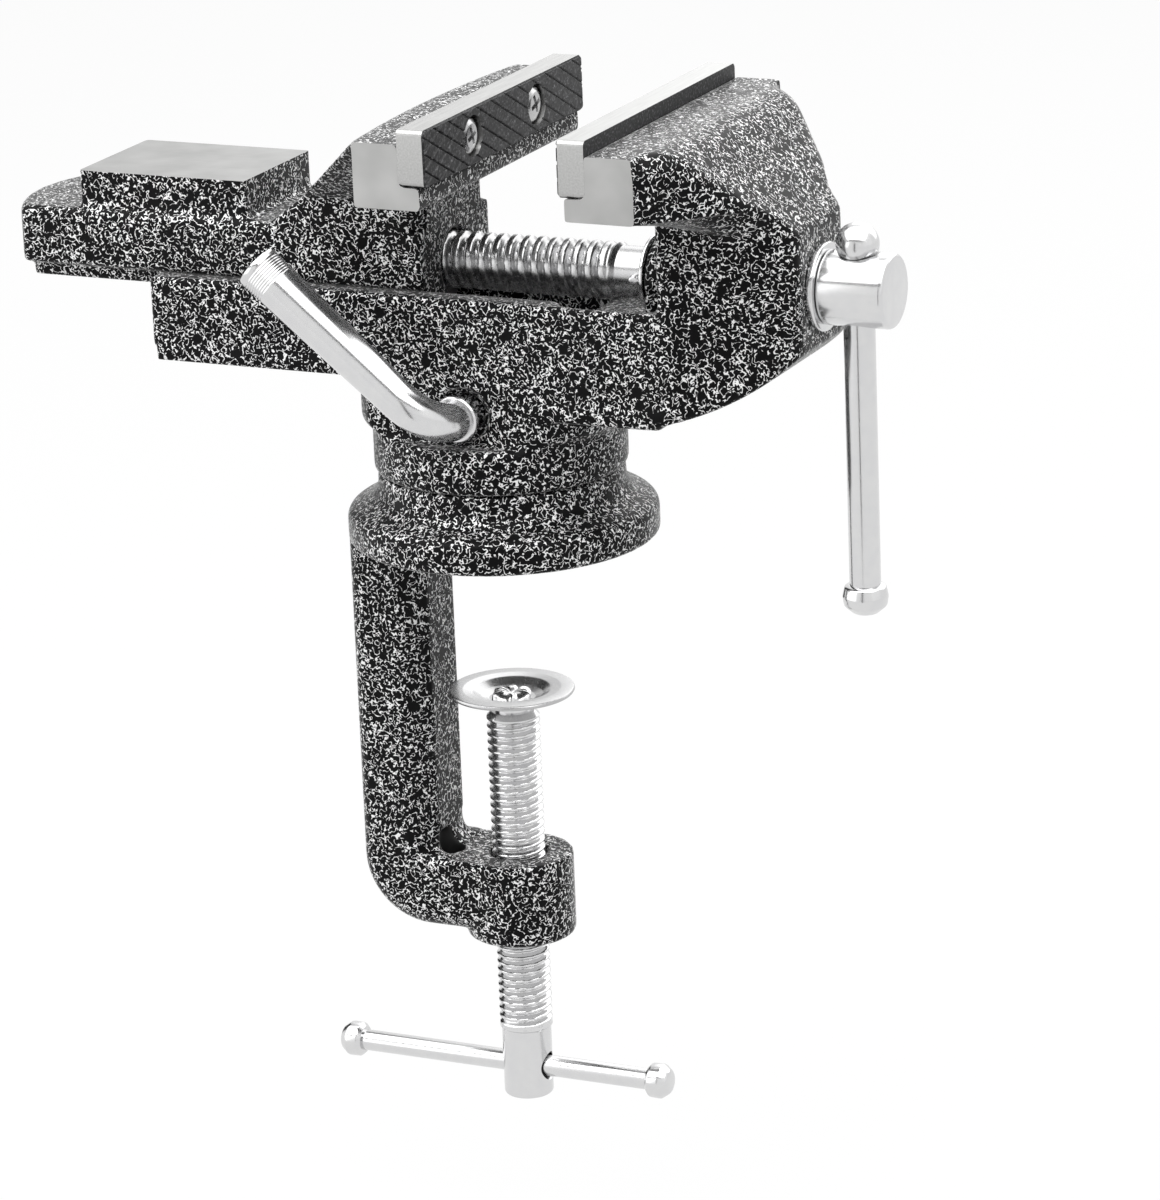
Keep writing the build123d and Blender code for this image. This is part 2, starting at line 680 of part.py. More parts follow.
for name, shape in (("rear_jaw_plate", jaw_plate(rear_face, 1)),
                    ("front_jaw_plate", jaw_plate(front_face, -1)),
                    ("rear_plate_screws", plate_screws(rear_face, 1)),
                    ("front_plate_screws", plate_screws(front_face, -1))):
    shape.label = name
    export_step(shape, f"parts/{name}.step")

# ================================================================== lead screw and handle
with BuildPart() as lead_screw:
    with BuildSketch(Plane.XZ) as profile:
        with BuildLine():
            Polyline((lead_thread_start, 0), (lead_thread_start, lead_thread_r - lead_depth),
                     (lead_thread_start + lead_depth, lead_thread_r),
                     (lead_thread_end, lead_thread_r), (lead_thread_end, lead_neck_r),
                     (screw_boss_face - seat_gap - retainer_thickness, lead_neck_r),
                     (screw_boss_face - seat_gap - retainer_thickness, lead_thread_r),
                     (head_back, lead_thread_r), (head_back, lead_head_r),
                     (head_back + lead_head_length, lead_head_r),
                     (head_back + lead_head_length, 0), close=True)
        make_face()
        fillet(corner(profile, head_back + lead_head_length, lead_head_r), 0.8)
    revolve(axis=Axis.X)
lead_blank = lead_screw.part.moved(Location((0, 0, screw_z)))
with BuildPart() as lead_screw:
    add(lead_blank)
    for way in (1, -1):
        # half of the handle's hole, with its flared mouth
        with BuildSketch(Plane(origin=(handle_x, 0, screw_z), x_dir=(1, 0, 0),
                               z_dir=(0, 0, way))):
            Circle(handle_r + handle_hole_gap)
        extrude(amount=lead_head_r + 1, mode=Mode.SUBTRACT)
        with BuildSketch(Plane(origin=(handle_x, 0, screw_z + way * (lead_head_r + 1)),
                               x_dir=(1, 0, 0), z_dir=(0, 0, -way))):
            Circle(handle_r + handle_hole_gap + handle_hole_flare + 1)
        extrude(amount=handle_hole_flare + 1, taper=45, mode=Mode.SUBTRACT)
    with BuildSketch(Plane.XZ):
        with Locations((screw_boss_face - seat_gap - retainer_thickness - seat_gap - pin_r,
                        screw_z)):
            Circle(pin_r + press)
    extrude(amount=lead_thread_r, both=True, mode=Mode.SUBTRACT)
lead_screw.part.label = "lead_screw"
export_step(lead_screw.part, "parts/lead_screw.step")


def washer(x, thickness, outer, inner):
    """A washer on the lead screw's axis, from x to x + thickness."""
    with BuildPart() as ring:
        with BuildSketch(x_plane(x)):
            Circle(outer)
            Circle(inner, mode=Mode.SUBTRACT)
        extrude(amount=thickness)
    return ring.part


thrust_washer = washer(nose_x + seat_gap, thrust_thickness, thrust_r, lead_thread_r + running)
thrust_washer.label = "thrust_washer"
export_step(thrust_washer, "parts/thrust_washer.step")
retaining_washer = washer(screw_boss_face - seat_gap - retainer_thickness, retainer_thickness,
                          retainer_r, lead_thread_r + running)
retaining_washer.label = "retaining_washer"
export_step(retaining_washer, "parts/retaining_washer.step")

with BuildPart() as retaining_pin:
    with BuildSketch(Plane.XZ):
        with Locations((screw_boss_face - seat_gap - retainer_thickness - seat_gap - pin_r,
                        screw_z)):
            Circle(pin_r)
    extrude(amount=pin_length / 2, both=True)
    fillet(retaining_pin.edges().filter_by(GeomType.CIRCLE), 0.5)
retaining_pin.part.label = "retaining_pin"
export_step(retaining_pin.part, "parts/retaining_pin.step")

# ball rests on the inner edge of the flared mouth
mouth_z = lead_head_r - handle_hole_flare
ball_z = screw_z + mouth_z + math.sqrt(ball_r ** 2 - (handle_r + handle_hole_gap) ** 2) + seat_gap
knob_z = ball_z - handle_drop
bar_top = ball_z - math.sqrt(ball_r ** 2 - handle_r ** 2) + ball_bore_depth
bar_bottom = knob_z - handle_knob_length / 2 + handle_knob_length / 3
with BuildPart() as handle_bar:
    with BuildSketch(Plane.XY.offset(bar_bottom)):
        with Locations((handle_x, 0)):
            Circle(handle_r)
    extrude(amount=bar_top - bar_bottom)
    chamfer(handle_bar.edges().filter_by(GeomType.CIRCLE), 0.4)
handle_bar.part.label = "handle_bar"
export_step(handle_bar.part, "parts/handle_bar.step")

with BuildPart() as handle_ball:
    with Locations((handle_x, 0, ball_z)):
        Sphere(ball_r)
    with BuildSketch(Plane.XY.offset(ball_z - ball_r)):
        with Locations((handle_x, 0)):
            Circle(handle_r + press)
    extrude(amount=bar_top - ball_z + ball_r + press, mode=Mode.SUBTRACT)
handle_ball.part.label = "handle_ball"
export_step(handle_ball.part, "parts/handle_ball.step")

with BuildPart() as handle_knob:
    with BuildSketch(Plane.XY.offset(knob_z - handle_knob_length / 2)):
        with Locations((handle_x, 0)):
            Circle(handle_knob_r)
    extrude(amount=handle_knob_length)
    fillet(handle_knob.edges().filter_by(GeomType.CIRCLE), handle_knob_length * 0.42)
    with BuildSketch(Plane.XY.offset(bar_bottom - press)):
        with Locations((handle_x, 0)):
            Circle(handle_r + press)
    extrude(amount=handle_knob_length, mode=Mode.SUBTRACT)
handle_knob.part.label = "handle_knob"
export_step(handle_knob.part, "parts/handle_knob.step")

# ================================================================== swivel bolt and lock
recess_top = pad_socket_depth + bolt_head_height + swivel_washer_thickness + 3 * seat_gap
head_top = recess_top - swivel_washer_thickness - 2 * seat_gap
with BuildPart() as swivel_bolt:
    with BuildSketch(Plane.XY.offset(head_top - bolt_head_height)):
        RegularPolygon(bolt_head_r, 6)
    extrude(amount=bolt_head_height)
    with BuildSketch(Plane.XY.offset(head_top)):
        Circle(bolt_r)
    extrude(amount=cavity_top + bolt_engagement - head_top)
swivel_bolt.part.label = "swivel_bolt"
export_step(swivel_bolt.part, "parts/swivel_bolt.step")

with BuildPart() as swivel_washer:
    with BuildSketch(Plane.XY.offset(head_top + seat_gap)):
        Circle(swivel_washer_r)
        Circle(bolt_r + running, mode=Mode.SUBTRACT)
    extrude(amount=swivel_washer_thickness)
swivel_washer.part.label = "swivel_washer"
export_step(swivel_washer.part, "parts/swivel_washer.step")

pad_tip = post_r - groove_depth + free_gap
with BuildPart() as lock_pad:
    with BuildSketch(Plane.XZ.offset(pad_tip)):
        with Locations((lock_x, lock_z)):
            Circle(lock_pad_r)
    extrude(amount=lock_pad_length)
lock_pad.part.label = "lock_pad"
export_step(lock_pad.part, "parts/lock_pad.step")

rise = math.radians(lever_rise)
leg = (-math.cos(rise), 0, math.sin(rise))
lever_plane = Plane(origin=(lock_x, 0, lock_z), x_dir=leg,
                    z_dir=(math.sin(rise), 0, math.cos(rise)))
leg_y = body_half + lever_offset
collar_y = body_half + lever_collar_proud
with BuildPart() as lock_lever:
    with BuildLine(lever_plane) as path:
        short = Line((0, collar_y - 1), (0, leg_y - lever_bend))
        bend = CenterArc((lever_bend, leg_y - lever_bend), lever_bend, 180, -90)
    with BuildSketch(Plane.XZ.offset(collar_y - 1)):
        with Locations((lock_x, lock_z)):
            Circle(lever_r)
    sweep(path=path.wires()[0])
    # the long leg widens towards its tip
    with BuildSketch(Plane(origin=bend @ 1, x_dir=(0, 1, 0), z_dir=leg)):
        Circle(lever_r)
    swell = math.degrees(math.atan((lever_tip_r - lever_r) / (lever_length - lever_bend)))
    extrude(amount=lever_length - lever_bend, taper=-swell)
    fillet(lock_lever.edges().filter_by(GeomType.CIRCLE).sort_by(Axis.X)[0], 0.7)
    with BuildSketch(Plane.XZ.offset(collar_y)):
        with Locations((lock_x, lock_z)):
            Circle(lever_collar_r)
    extrude(amount=-lever_collar_thickness)
    with BuildSketch(Plane.XZ.offset(pad_tip + lock_pad_length + seat_gap)):
        with Locations((lock_x, lock_z)):
            Circle(lever_stem_r)
    extrude(amount=collar_y - 1 - pad_tip - lock_pad_length)
lock_lever.part.label = "lock_lever"
export_step(lock_lever.part, "parts/lock_lever.step")

# ================================================================== clamp screw, pad and bar
clamp_head_top = clamp_thread_top - clamp_thread_length
tbar_z = clamp_head_top - tbar_drop
tbar_plane = Plane(origin=(0, 0, tbar_z), x_dir=(0, 0, 1), z_dir=(1, 0, 0))
bar_plane = tbar_plane.offset(tbar_shift)
with BuildPart() as clamp_screw:
    with BuildSketch(Plane.XZ) as profile:
        with BuildLine():
            Polyline((0, clamp_thread_top + clamp_spigot_length + peen_height),
                     (peen_r, clamp_thread_top + clamp_spigot_length + peen_height),
                     (peen_r, clamp_thread_top + clamp_spigot_length),
                     (clamp_spigot_r, clamp_thread_top + clamp_spigot_length),
                     (clamp_spigot_r, clamp_thread_top),
                     (clamp_thread_r - clamp_depth, clamp_thread_top),
                     (clamp_thread_r, clamp_thread_top - clamp_depth),
                     (clamp_thread_r, clamp_head_top + 0.5),
                     (clamp_head_r, clamp_head_top),
                     (clamp_head_r, clamp_head_top - clamp_head_length),
                     (0, clamp_head_top - clamp_head_length), close=True)
        make_face()
        fillet(corner(profile, peen_r, clamp_thread_top + clamp_spigot_length + peen_height), 0.6)
        fillet(corner(profile, clamp_head_r, clamp_head_top - clamp_head_length), 0.8)
    revolve(axis=Axis.Z)
    with BuildSketch(tbar_plane):
        Circle(tbar_r + handle_hole_gap)
    extrude(amount=clamp_head_r + 1, both=True, mode=Mode.SUBTRACT)
clamp_screw.part.label = "clamp_screw"
export_step(clamp_screw.part, "parts/clamp_screw.step")

pad_floor_top = clamp_thread_top + clamp_spigot_length - seat_gap
pad_floor_bottom = pad_floor_top - pad_thickness
with BuildPart() as clamp_pad:
    with BuildSketch(Plane.XZ) as profile:
        with BuildLine():
            Polyline((clamp_spigot_r + running, pad_floor_bottom), (pad_floor_r, pad_floor_bottom),
                     (pad_dish_r + 0.6, pad_rim_top - pad_thickness),
                     (pad_r, pad_rim_top - pad_thickness),
                     (pad_r, pad_rim_top), (pad_dish_r, pad_rim_top),
                     (pad_floor_r - 0.6, pad_floor_top),
                     (clamp_spigot_r + running, pad_floor_top), close=True)
        make_face()
        fillet(corner(profile, pad_r, pad_rim_top), 0.4)
        fillet(corner(profile, pad_r, pad_rim_top - pad_thickness), 0.4)
    revolve(axis=Axis.Z)
clamp_pad.part.label = "clamp_pad"
export_step(clamp_pad.part, "parts/clamp_pad.step")

with BuildPart() as clamp_tbar:
    with BuildSketch(bar_plane.offset(-tbar_length / 2)):
        Circle(tbar_r)
    extrude(amount=tbar_length)
clamp_tbar.part.label = "clamp_tbar"
export_step(clamp_tbar.part, "parts/clamp_tbar.step")

with BuildPart() as tbar_knobs:
    for way in (1, -1):
        inner = tbar_length / 2 - knob_sink
        flip = Plane(origin=bar_plane.origin + bar_plane.z_dir * way * inner,
                     x_dir=bar_plane.x_dir, z_dir=bar_plane.z_dir * way)
        with BuildSketch(flip):
            Circle(knob_r)
        knob = extrude(amount=knob_length)
        fillet(knob.edges().filter_by(GeomType.CIRCLE), knob_length * 0.35)
        with BuildSketch(flip):
            Circle(tbar_r + press)
        extrude(amount=knob_sink + press, mode=Mode.SUBTRACT)
tbar_knobs.part.label = "tbar_knobs"
export_step(tbar_knobs.part, "parts/tbar_knobs.step")
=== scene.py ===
import json
import math

import bmesh
import bpy
from mathutils import Matrix, Vector


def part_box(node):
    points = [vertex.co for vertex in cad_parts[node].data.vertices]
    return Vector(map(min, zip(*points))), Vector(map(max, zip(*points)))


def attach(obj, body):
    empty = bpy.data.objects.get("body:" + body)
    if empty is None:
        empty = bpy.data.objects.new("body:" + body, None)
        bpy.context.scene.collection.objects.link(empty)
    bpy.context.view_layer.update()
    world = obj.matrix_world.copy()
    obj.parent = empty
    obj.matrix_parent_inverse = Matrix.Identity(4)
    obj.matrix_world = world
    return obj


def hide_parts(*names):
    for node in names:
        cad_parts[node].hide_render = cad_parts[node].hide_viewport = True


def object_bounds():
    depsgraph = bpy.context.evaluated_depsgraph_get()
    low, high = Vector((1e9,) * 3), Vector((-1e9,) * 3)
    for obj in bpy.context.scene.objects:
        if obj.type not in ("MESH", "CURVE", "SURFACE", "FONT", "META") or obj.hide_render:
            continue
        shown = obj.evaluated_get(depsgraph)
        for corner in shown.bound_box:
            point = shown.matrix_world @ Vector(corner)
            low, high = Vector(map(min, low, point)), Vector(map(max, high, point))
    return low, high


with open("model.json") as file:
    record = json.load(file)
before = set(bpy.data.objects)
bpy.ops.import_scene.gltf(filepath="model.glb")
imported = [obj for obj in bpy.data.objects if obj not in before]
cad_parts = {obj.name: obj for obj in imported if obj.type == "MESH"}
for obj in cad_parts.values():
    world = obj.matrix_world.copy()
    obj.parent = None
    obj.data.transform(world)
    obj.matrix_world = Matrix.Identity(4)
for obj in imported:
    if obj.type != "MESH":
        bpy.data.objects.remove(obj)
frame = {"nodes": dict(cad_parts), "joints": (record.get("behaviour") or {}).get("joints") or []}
nodes = frame["nodes"]
cad_box = [list(v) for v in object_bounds()]

MM = 0.001

# ---------------------------------------------------------------- places, in millimetres


def corners(node):
    """A CAD node's lowest and highest corners."""
    return [[round(c / MM, 3) for c in corner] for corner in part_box(node)]


def middle(node):
    """The middle of a CAD node's box."""
    return [round((low + high) / 2, 3) for low, high in zip(*corners(node))]


def joint_at(name):
    """A point on a joint's axis."""
    place = next(joint["pos_m"] for joint in frame["joints"] if joint["name"] == name)
    return [round(c / MM, 3) for c in place]


LEAD_Z = joint_at("lead_spin")[2]
LOCK = joint_at("lock_turn")
HANDLE_X = middle("handle_bar")[0]
TBAR = middle("clamp_tbar")
JAW_HALF = corners("vise_body")[1][1]
REAR_FACE = corners("rear_jaw_plate")[1][0]
FRONT_FACE = corners("front_jaw_plate")[0][0]
FOOT_TOP = -75.0        # top of the clamp frame's lower arm
ANVIL_TOP = 79.4
PLATE_SCREW_Z = middle("rear_plate_screws")[2]
PLATE_SCREW_SPAN = 32.0

# ---------------------------------------------------------------- colour and nodes


def linear(hex_colour):
    """An sRGB hex colour as linear RGBA."""
    channels = [int(hex_colour[i:i + 2], 16) / 255 for i in (1, 3, 5)]
    return tuple(c / 12.92 if c <= 0.04045 else ((c + 0.055) / 1.055) ** 2.4
                 for c in channels) + (1.0,)


def add(tree, kind, settings=None, **inputs):
    """Adds a node. Settings are its properties. Inputs are values or sockets to link, by the
    input's name, with _ for a space, or by n and its number."""
    made = tree.nodes.new(kind)
    for key, value in (settings or {}).items():
        setattr(made, key, value)
    for key, value in inputs.items():
        numbered = key[0] == "n" and key[1:].isdigit()
        socket = made.inputs[int(key[1:]) if numbered else key.replace("_", " ")]
        if isinstance(value, bpy.types.NodeSocket):
            tree.links.new(value, socket)
        else:
            socket.default_value = value
    return made


def new_material(name):
    material = bpy.data.materials.new(name)
    material.use_nodes = True
    material.node_tree.nodes.clear()
    return material, material.node_tree


def close_material(tree, shader):
    add(tree, "ShaderNodeOutputMaterial", Surface=shader.outputs[0])


def shaded(ramp, *stops):
    """Gives a colour ramp its stops, each (place, hex colour), and returns its colour."""
    elements = ramp.color_ramp.elements
    while len(elements) < len(stops):
        elements.new(0.5)
    for element, (place, colour) in zip(elements, stops):
        element.position = place
        element.color = linear(colour)
    return ramp.outputs["Color"]


def in_millimetres(tree, stretch=(1, 1, 1)):
    """The object's own coordinates in millimetres, so that a pattern's Scale is its number of
    features per millimetre; stretch packs them closer along an axis."""
    place = add(tree, "ShaderNodeTexCoord").outputs["Object"]
    return add(tree, "ShaderNodeMapping", Vector=place,
               Scale=[s / MM for s in stretch]).outputs[0]


# ---------------------------------------------------------------- materials

def hammered_enamel():
    """Black and silver hammered enamel on cast iron: aluminium flake that draws together into
    broken pale veins about a third of a millimetre wide in a black ground, with round black
    pools here and there, under a skin that dips between the veins."""
    material, tree = new_material("hammered enamel on cast iron")
    place = in_millimetres(tree)
    swirl = add(tree, "ShaderNodeTexNoise", Vector=place, Scale=0.8, Detail=1.0,
                Roughness=0.55, Distortion=0.5).outputs["Fac"]
    ridge = add(tree, "ShaderNodeMath", {"operation": "SUBTRACT"}, n0=swirl, n1=0.5).outputs[0]
    ridge = add(tree, "ShaderNodeMath", {"operation": "ABSOLUTE"}, n0=ridge).outputs[0]
    vein = add(tree, "ShaderNodeMapRange", {"interpolation_type": "SMOOTHSTEP"}, Value=ridge,
               n1=0.019, n2=0.051, n3=1.0, n4=0.0).outputs[0]
    gaps = add(tree, "ShaderNodeTexNoise", Vector=place, Scale=1.3, Detail=0.0).outputs["Fac"]
    gaps = add(tree, "ShaderNodeMapRange", {"interpolation_type": "SMOOTHSTEP"}, Value=gaps,
               n1=0.36, n2=0.46).outputs[0]
    pools = add(tree, "ShaderNodeTexVoronoi", Vector=place, Scale=0.13).outputs["Distance"]
    pools = add(tree, "ShaderNodeMapRange", {"interpolation_type": "SMOOTHSTEP"}, Value=pools,
                n1=0.13, n2=0.19).outputs[0]
    vein = add(tree, "ShaderNodeMath", {"operation": "MULTIPLY"}, n0=vein, n1=gaps).outputs[0]
    vein = add(tree, "ShaderNodeMath", {"operation": "MULTIPLY"}, n0=vein, n1=pools).outputs[0]
    colour = shaded(add(tree, "ShaderNodeValToRGB", Fac=vein),
                    (0.0, "#080809"), (0.35, "#505051"), (0.8, "#f2f2f2"))
    shade = add(tree, "ShaderNodeMath", {"operation": "MULTIPLY"}, n0=vein, n1=0.3).outputs[0]
    dip = add(tree, "ShaderNodeBump", Strength=0.5, Distance=0.1 * MM, Height=vein)
    shader = add(tree, "ShaderNodeBsdfPrincipled", Base_Color=colour, Roughness=0.36,
                 Metallic=shade, Normal=dip.outputs[0])
    shader.inputs["Specular IOR Level"].default_value = 0.08
    shader.inputs["Sheen Weight"].default_value = 0.55
    shader.inputs["Sheen Roughness"].default_value = 0.3
    close_material(tree, shader)
    return material


def painted_hole_shade():
    """Near-black enamel with no flake, painted into the cored hole as its shade; only its roughness
    varies.
    """
    material, tree = new_material("enamel painted black as shade in the cored hole")
    rough = add(tree, "ShaderNodeTexNoise", Vector=in_millimetres(tree), Scale=0.8,
                Detail=2.0).outputs["Fac"]
    rough = add(tree, "ShaderNodeMapRange", Value=rough, n3=0.5, n4=0.7).outputs[0]
    close_material(tree, add(tree, "ShaderNodeBsdfPrincipled", Base_Color=linear("#060606"),
                             Roughness=rough))
    return material


def machined_iron():
    """Ground grey iron: fine parallel wheel marks across a satin face."""
    material, tree = new_material("ground cast iron")
    lines = add(tree, "ShaderNodeTexNoise", Vector=in_millimetres(tree, (0.12, 2.2, 2.2)),
                Scale=1.0, Detail=3.0, Roughness=0.7).outputs["Fac"]
    cloud = add(tree, "ShaderNodeTexNoise", Vector=in_millimetres(tree), Scale=0.1,
                Detail=2.0).outputs["Fac"]
    colour = shaded(add(tree, "ShaderNodeValToRGB", Fac=cloud),
                    (0.3, "#a3a3a2"), (0.7, "#b4b4b3"))
    rough = add(tree, "ShaderNodeMapRange", Value=lines, n3=0.3, n4=0.46).outputs[0]
    marks = add(tree, "ShaderNodeBump", Strength=0.12, Distance=0.03 * MM, Height=lines)
    close_material(tree, add(tree, "ShaderNodeBsdfPrincipled", Base_Color=colour,
                             Metallic=1.0, Roughness=rough, Normal=marks.outputs[0]))
    return material


def hardened_steel():
    """Oil-blacked hardened jaw steel with a fine bright speckle."""
    material, tree = new_material("hardened jaw steel")
    speck = add(tree, "ShaderNodeTexNoise", Vector=in_millimetres(tree), Scale=1.7,
                Detail=2.0).outputs["Fac"]
    colour = shaded(add(tree, "ShaderNodeValToRGB", Fac=speck),
                    (0.4, "#161617"), (0.56, "#262627"), (0.7, "#5e5e60"))
    rough = add(tree, "ShaderNodeMapRange", Value=speck, n3=0.6, n4=0.4).outputs[0]
    pits = add(tree, "ShaderNodeBump", Strength=0.25, Distance=0.05 * MM, Height=speck)
    close_material(tree, add(tree, "ShaderNodeBsdfPrincipled", Base_Color=colour,
                             Roughness=rough, Normal=pits.outputs[0], Metallic=0.3))
    return material


def ground_steel():
    """Ground steel on the plates' tops and ends: bright, with fine lines from the wheel."""
    material, tree = new_material("ground jaw steel")
    lines = add(tree, "ShaderNodeTexNoise", Vector=in_millimetres(tree, (2.5, 0.1, 2.5)),
                Scale=1.0, Detail=2.0).outputs["Fac"]
    colour = shaded(add(tree, "ShaderNodeValToRGB", Fac=lines),
                    (0.3, "#a8a8a7"), (0.7, "#b9b9b8"))
    rough = add(tree, "ShaderNodeMapRange", Value=lines, n3=0.28, n4=0.42).outputs[0]
    close_material(tree, add(tree, "ShaderNodeBsdfPrincipled", Base_Color=colour,
                             Metallic=1.0, Roughness=rough))
    return material


def turned_metal(name, colours, rough):
    """A turned metal between two colours: faint cutter marks under a clean polish, whose
    roughness runs from rough[0] to rough[1]."""
    material, tree = new_material(name)
    cloud = add(tree, "ShaderNodeTexNoise", Vector=in_millimetres(tree), Scale=0.35,
                Detail=2.0).outputs["Fac"]
    fine = add(tree, "ShaderNodeTexNoise", Vector=in_millimetres(tree), Scale=2.6,
               Detail=2.0).outputs["Fac"]
    colour = shaded(add(tree, "ShaderNodeValToRGB", Fac=cloud),
                    (0.3, colours[0]), (0.7, colours[1]))
    polish = add(tree, "ShaderNodeMapRange", Value=fine, n3=rough[0], n4=rough[1]).outputs[0]
    marks = add(tree, "ShaderNodeBump", Strength=0.02, Distance=0.01 * MM, Height=fine)
    close_material(tree, add(tree, "ShaderNodeBsdfPrincipled", Base_Color=colour,
                             Metallic=1.0, Roughness=polish, Normal=marks.outputs[0]))
    return material


ENAMEL = hammered_enamel()
# near-black enamel painted into the cored hole at the arm's foot as its shade
HOLE_SHADE = painted_hole_shade()
MACHINED = machined_iron()
JAW_STEEL = hardened_steel()
GROUND = ground_steel()
# bare turned steel, a little greyer and duller than the plated pieces beside it
TURNED = turned_metal("turned screw steel", ("#b6b6b7", "#bababa"), (0.22, 0.3))
# zinc plate over turned steel: nearly white, with the sharpest reflections here
ZINC = turned_metal("bright zinc plate", ("#d3d3d4", "#d7d7d7"), (0.16, 0.24))
# steel as a bolt is sold, dark and dull
BOLT = turned_metal("dull bolt steel", ("#5b5b5d", "#717173"), (0.32, 0.45))
# yellow brass, softer than the post that it is pressed against
BRASS = turned_metal("turned brass", ("#b08d4a", "#c7a35c"), (0.2, 0.32))

# ---------------------------------------------------------------- mesh tools


def as_mesh(work, name):
    """A new mesh from a finished bmesh, which is freed."""
    mesh = bpy.data.meshes.new(name)
    work.to_mesh(mesh)
    work.free()
    return mesh


def merged_copy(node):
    """A bmesh of a CAD node in its place, with its loose triangles joined."""
    work = bmesh.new()
    work.from_mesh(nodes[node].data)
    work.transform(nodes[node].matrix_world)
    bmesh.ops.remove_doubles(work, verts=work.verts, dist=0.003 * MM)
    return work


def bench(mesh):
    """A scene object that carries a mesh while modifiers work on it."""
    carrier = bpy.data.objects.new("bench", mesh)
    bpy.context.scene.collection.objects.link(carrier)
    return carrier


def off_bench(carrier, *helpers):
    """The carrier's mesh with its modifiers applied; the carrier and its helpers are removed."""
    graph = bpy.context.evaluated_depsgraph_get()
    mesh = bpy.data.meshes.new_from_object(carrier.evaluated_get(graph))
    for used in (carrier, *helpers):
        bpy.data.objects.remove(used)
    return mesh


def cut_out(mesh, *tools):
    """The mesh with closed tool meshes cut out of it."""
    carrier, cutters = bench(mesh), [bench(tool) for tool in tools]
    for cutter in cutters:
        step = carrier.modifiers.new("cut", "BOOLEAN")
        step.operation, step.object, step.solver = "DIFFERENCE", cutter, "EXACT"
    return off_bench(carrier, *cutters)


def joined(*meshes):
    """One mesh of several closed shells."""
    work = bmesh.new()
    for mesh in meshes:
        work.from_mesh(mesh)
    return as_mesh(work, "joined")


def grown(mesh, tree, values):
    """The mesh that a node tree makes of another, with the tree's named inputs set."""
    carrier = bench(mesh)
    step = carrier.modifiers.new(tree.name, "NODES")
    step.node_group = tree
    for item in tree.interface.items_tree:
        if item.item_type == "SOCKET" and item.in_out == "INPUT" and item.name in values:
            step[item.identifier] = values[item.name]
    return off_bench(carrier)


def smooth_by_angle(mesh, degrees=32):
    """Smooth faces, with edges sharper than the angle left crisp."""
    work = bmesh.new()
    work.from_mesh(mesh)
    for face in work.faces:
        face.smooth = True
    for edge in work.edges:
        edge.smooth = len(edge.link_faces) == 2 \
            and edge.calc_face_angle(0) < math.radians(degrees)
    work.to_mesh(mesh)
    work.free()
    return mesh


def finish_piece(mesh, name, body, replaced, materials=()):
    """Puts a mesh in the scene as a piece that rides on a body and stands for CAD nodes. A mesh
    that has no materials yet takes those given."""
    name = name.replace(" ", "_") + "_shown"
    mesh.name = name
    piece = bpy.data.objects.new(name, mesh)
    bpy.context.scene.collection.objects.link(piece)
    if not mesh.materials:
        for material in materials:
            mesh.materials.append(material)
    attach(piece, body)
    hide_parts(*replaced)


def along(origin, direction):
    """The matrix that puts local Z along a direction from an origin given in millimetres."""
    turn = Vector(direction).to_track_quat("Z", "Y").to_matrix().to_4x4()
    return Matrix.Translation(Vector(origin) * MM) @ turn


def eased(*corners):
    """An outline in millimetres whose corners (distance, radius, easing) are rounded."""
    points = []
    for i, (distance, radius, ease) in enumerate(corners):
        here = Vector((distance, radius))
        if not ease:
            points.append(here)
            continue
        back = Vector(corners[i - 1][:2]) - here
        ahead = Vector(corners[(i + 1) % len(corners)][:2]) - here
        reach = min(ease / math.tan(back.angle(ahead) / 2), 0.49 * back.length,
                    0.49 * ahead.length)
        start, stop = here + back.normalized() * reach, here + ahead.normalized() * reach
        for k in range(6):
            t = k / 5
            points.append((1 - t) ** 2 * start + 2 * t * (1 - t) * here + t * t * stop)
    return [(p.x, p.y) for p in points]


def turned(outline, place, segments=64, rows_per_mm=0, ring=False):
    """A turned piece. The outline is (distance along the axis, radius) in millimetres, from
    centre to centre, or a closed loop for a ring; place puts the local Z axis in the row."""
    work = bmesh.new()
    points = []
    for (a, r), (b, q) in zip(outline, outline[1:]):
        steps = max(1, round(abs(b - a) * rows_per_mm)) if abs(r - q) < 1e-6 else 1
        points += [(a + (b - a) * i / steps, r + (q - r) * i / steps) for i in range(steps)]
    points.append(outline[-1])
    rows = []
    for distance, radius in points:
        if radius < 1e-6:
            rows.append([work.verts.new((0, 0, distance * MM))])
        else:
            rows.append([work.verts.new((radius * MM * math.cos(t), radius * MM * math.sin(t),
                                         distance * MM))
                         for t in (2 * math.pi * i / segments for i in range(segments))])
    for low, high in zip(rows, rows[1:] + rows[:1] if ring else rows[1:]):
        for i in range(segments):
            j = (i + 1) % segments
            corners = [low[i % len(low)], low[j % len(low)],
                       high[j % len(high)], high[i % len(high)]]
            kept = [v for k, v in enumerate(corners) if v not in corners[:k]]
            if len(kept) > 2:
                work.faces.new(kept)
    bmesh.ops.recalc_face_normals(work, faces=work.faces)
    work.transform(place)
    return as_mesh(work, "turned")


def group_sockets(tree, inputs):
    """A node tree's own sockets: a mesh in, the named inputs, and a mesh out."""
    tree.interface.new_socket("Mesh", in_out="INPUT", socket_type="NodeSocketGeometry")
    for name, kind in inputs.items():
        tree.interface.new_socket(name, in_out="INPUT", socket_type=kind)
    tree.interface.new_socket("Mesh", in_out="OUTPUT", socket_type="NodeSocketGeometry")


# ---------------------------------------------------------------- repeated shapes

FLOAT = "NodeSocketFloat"


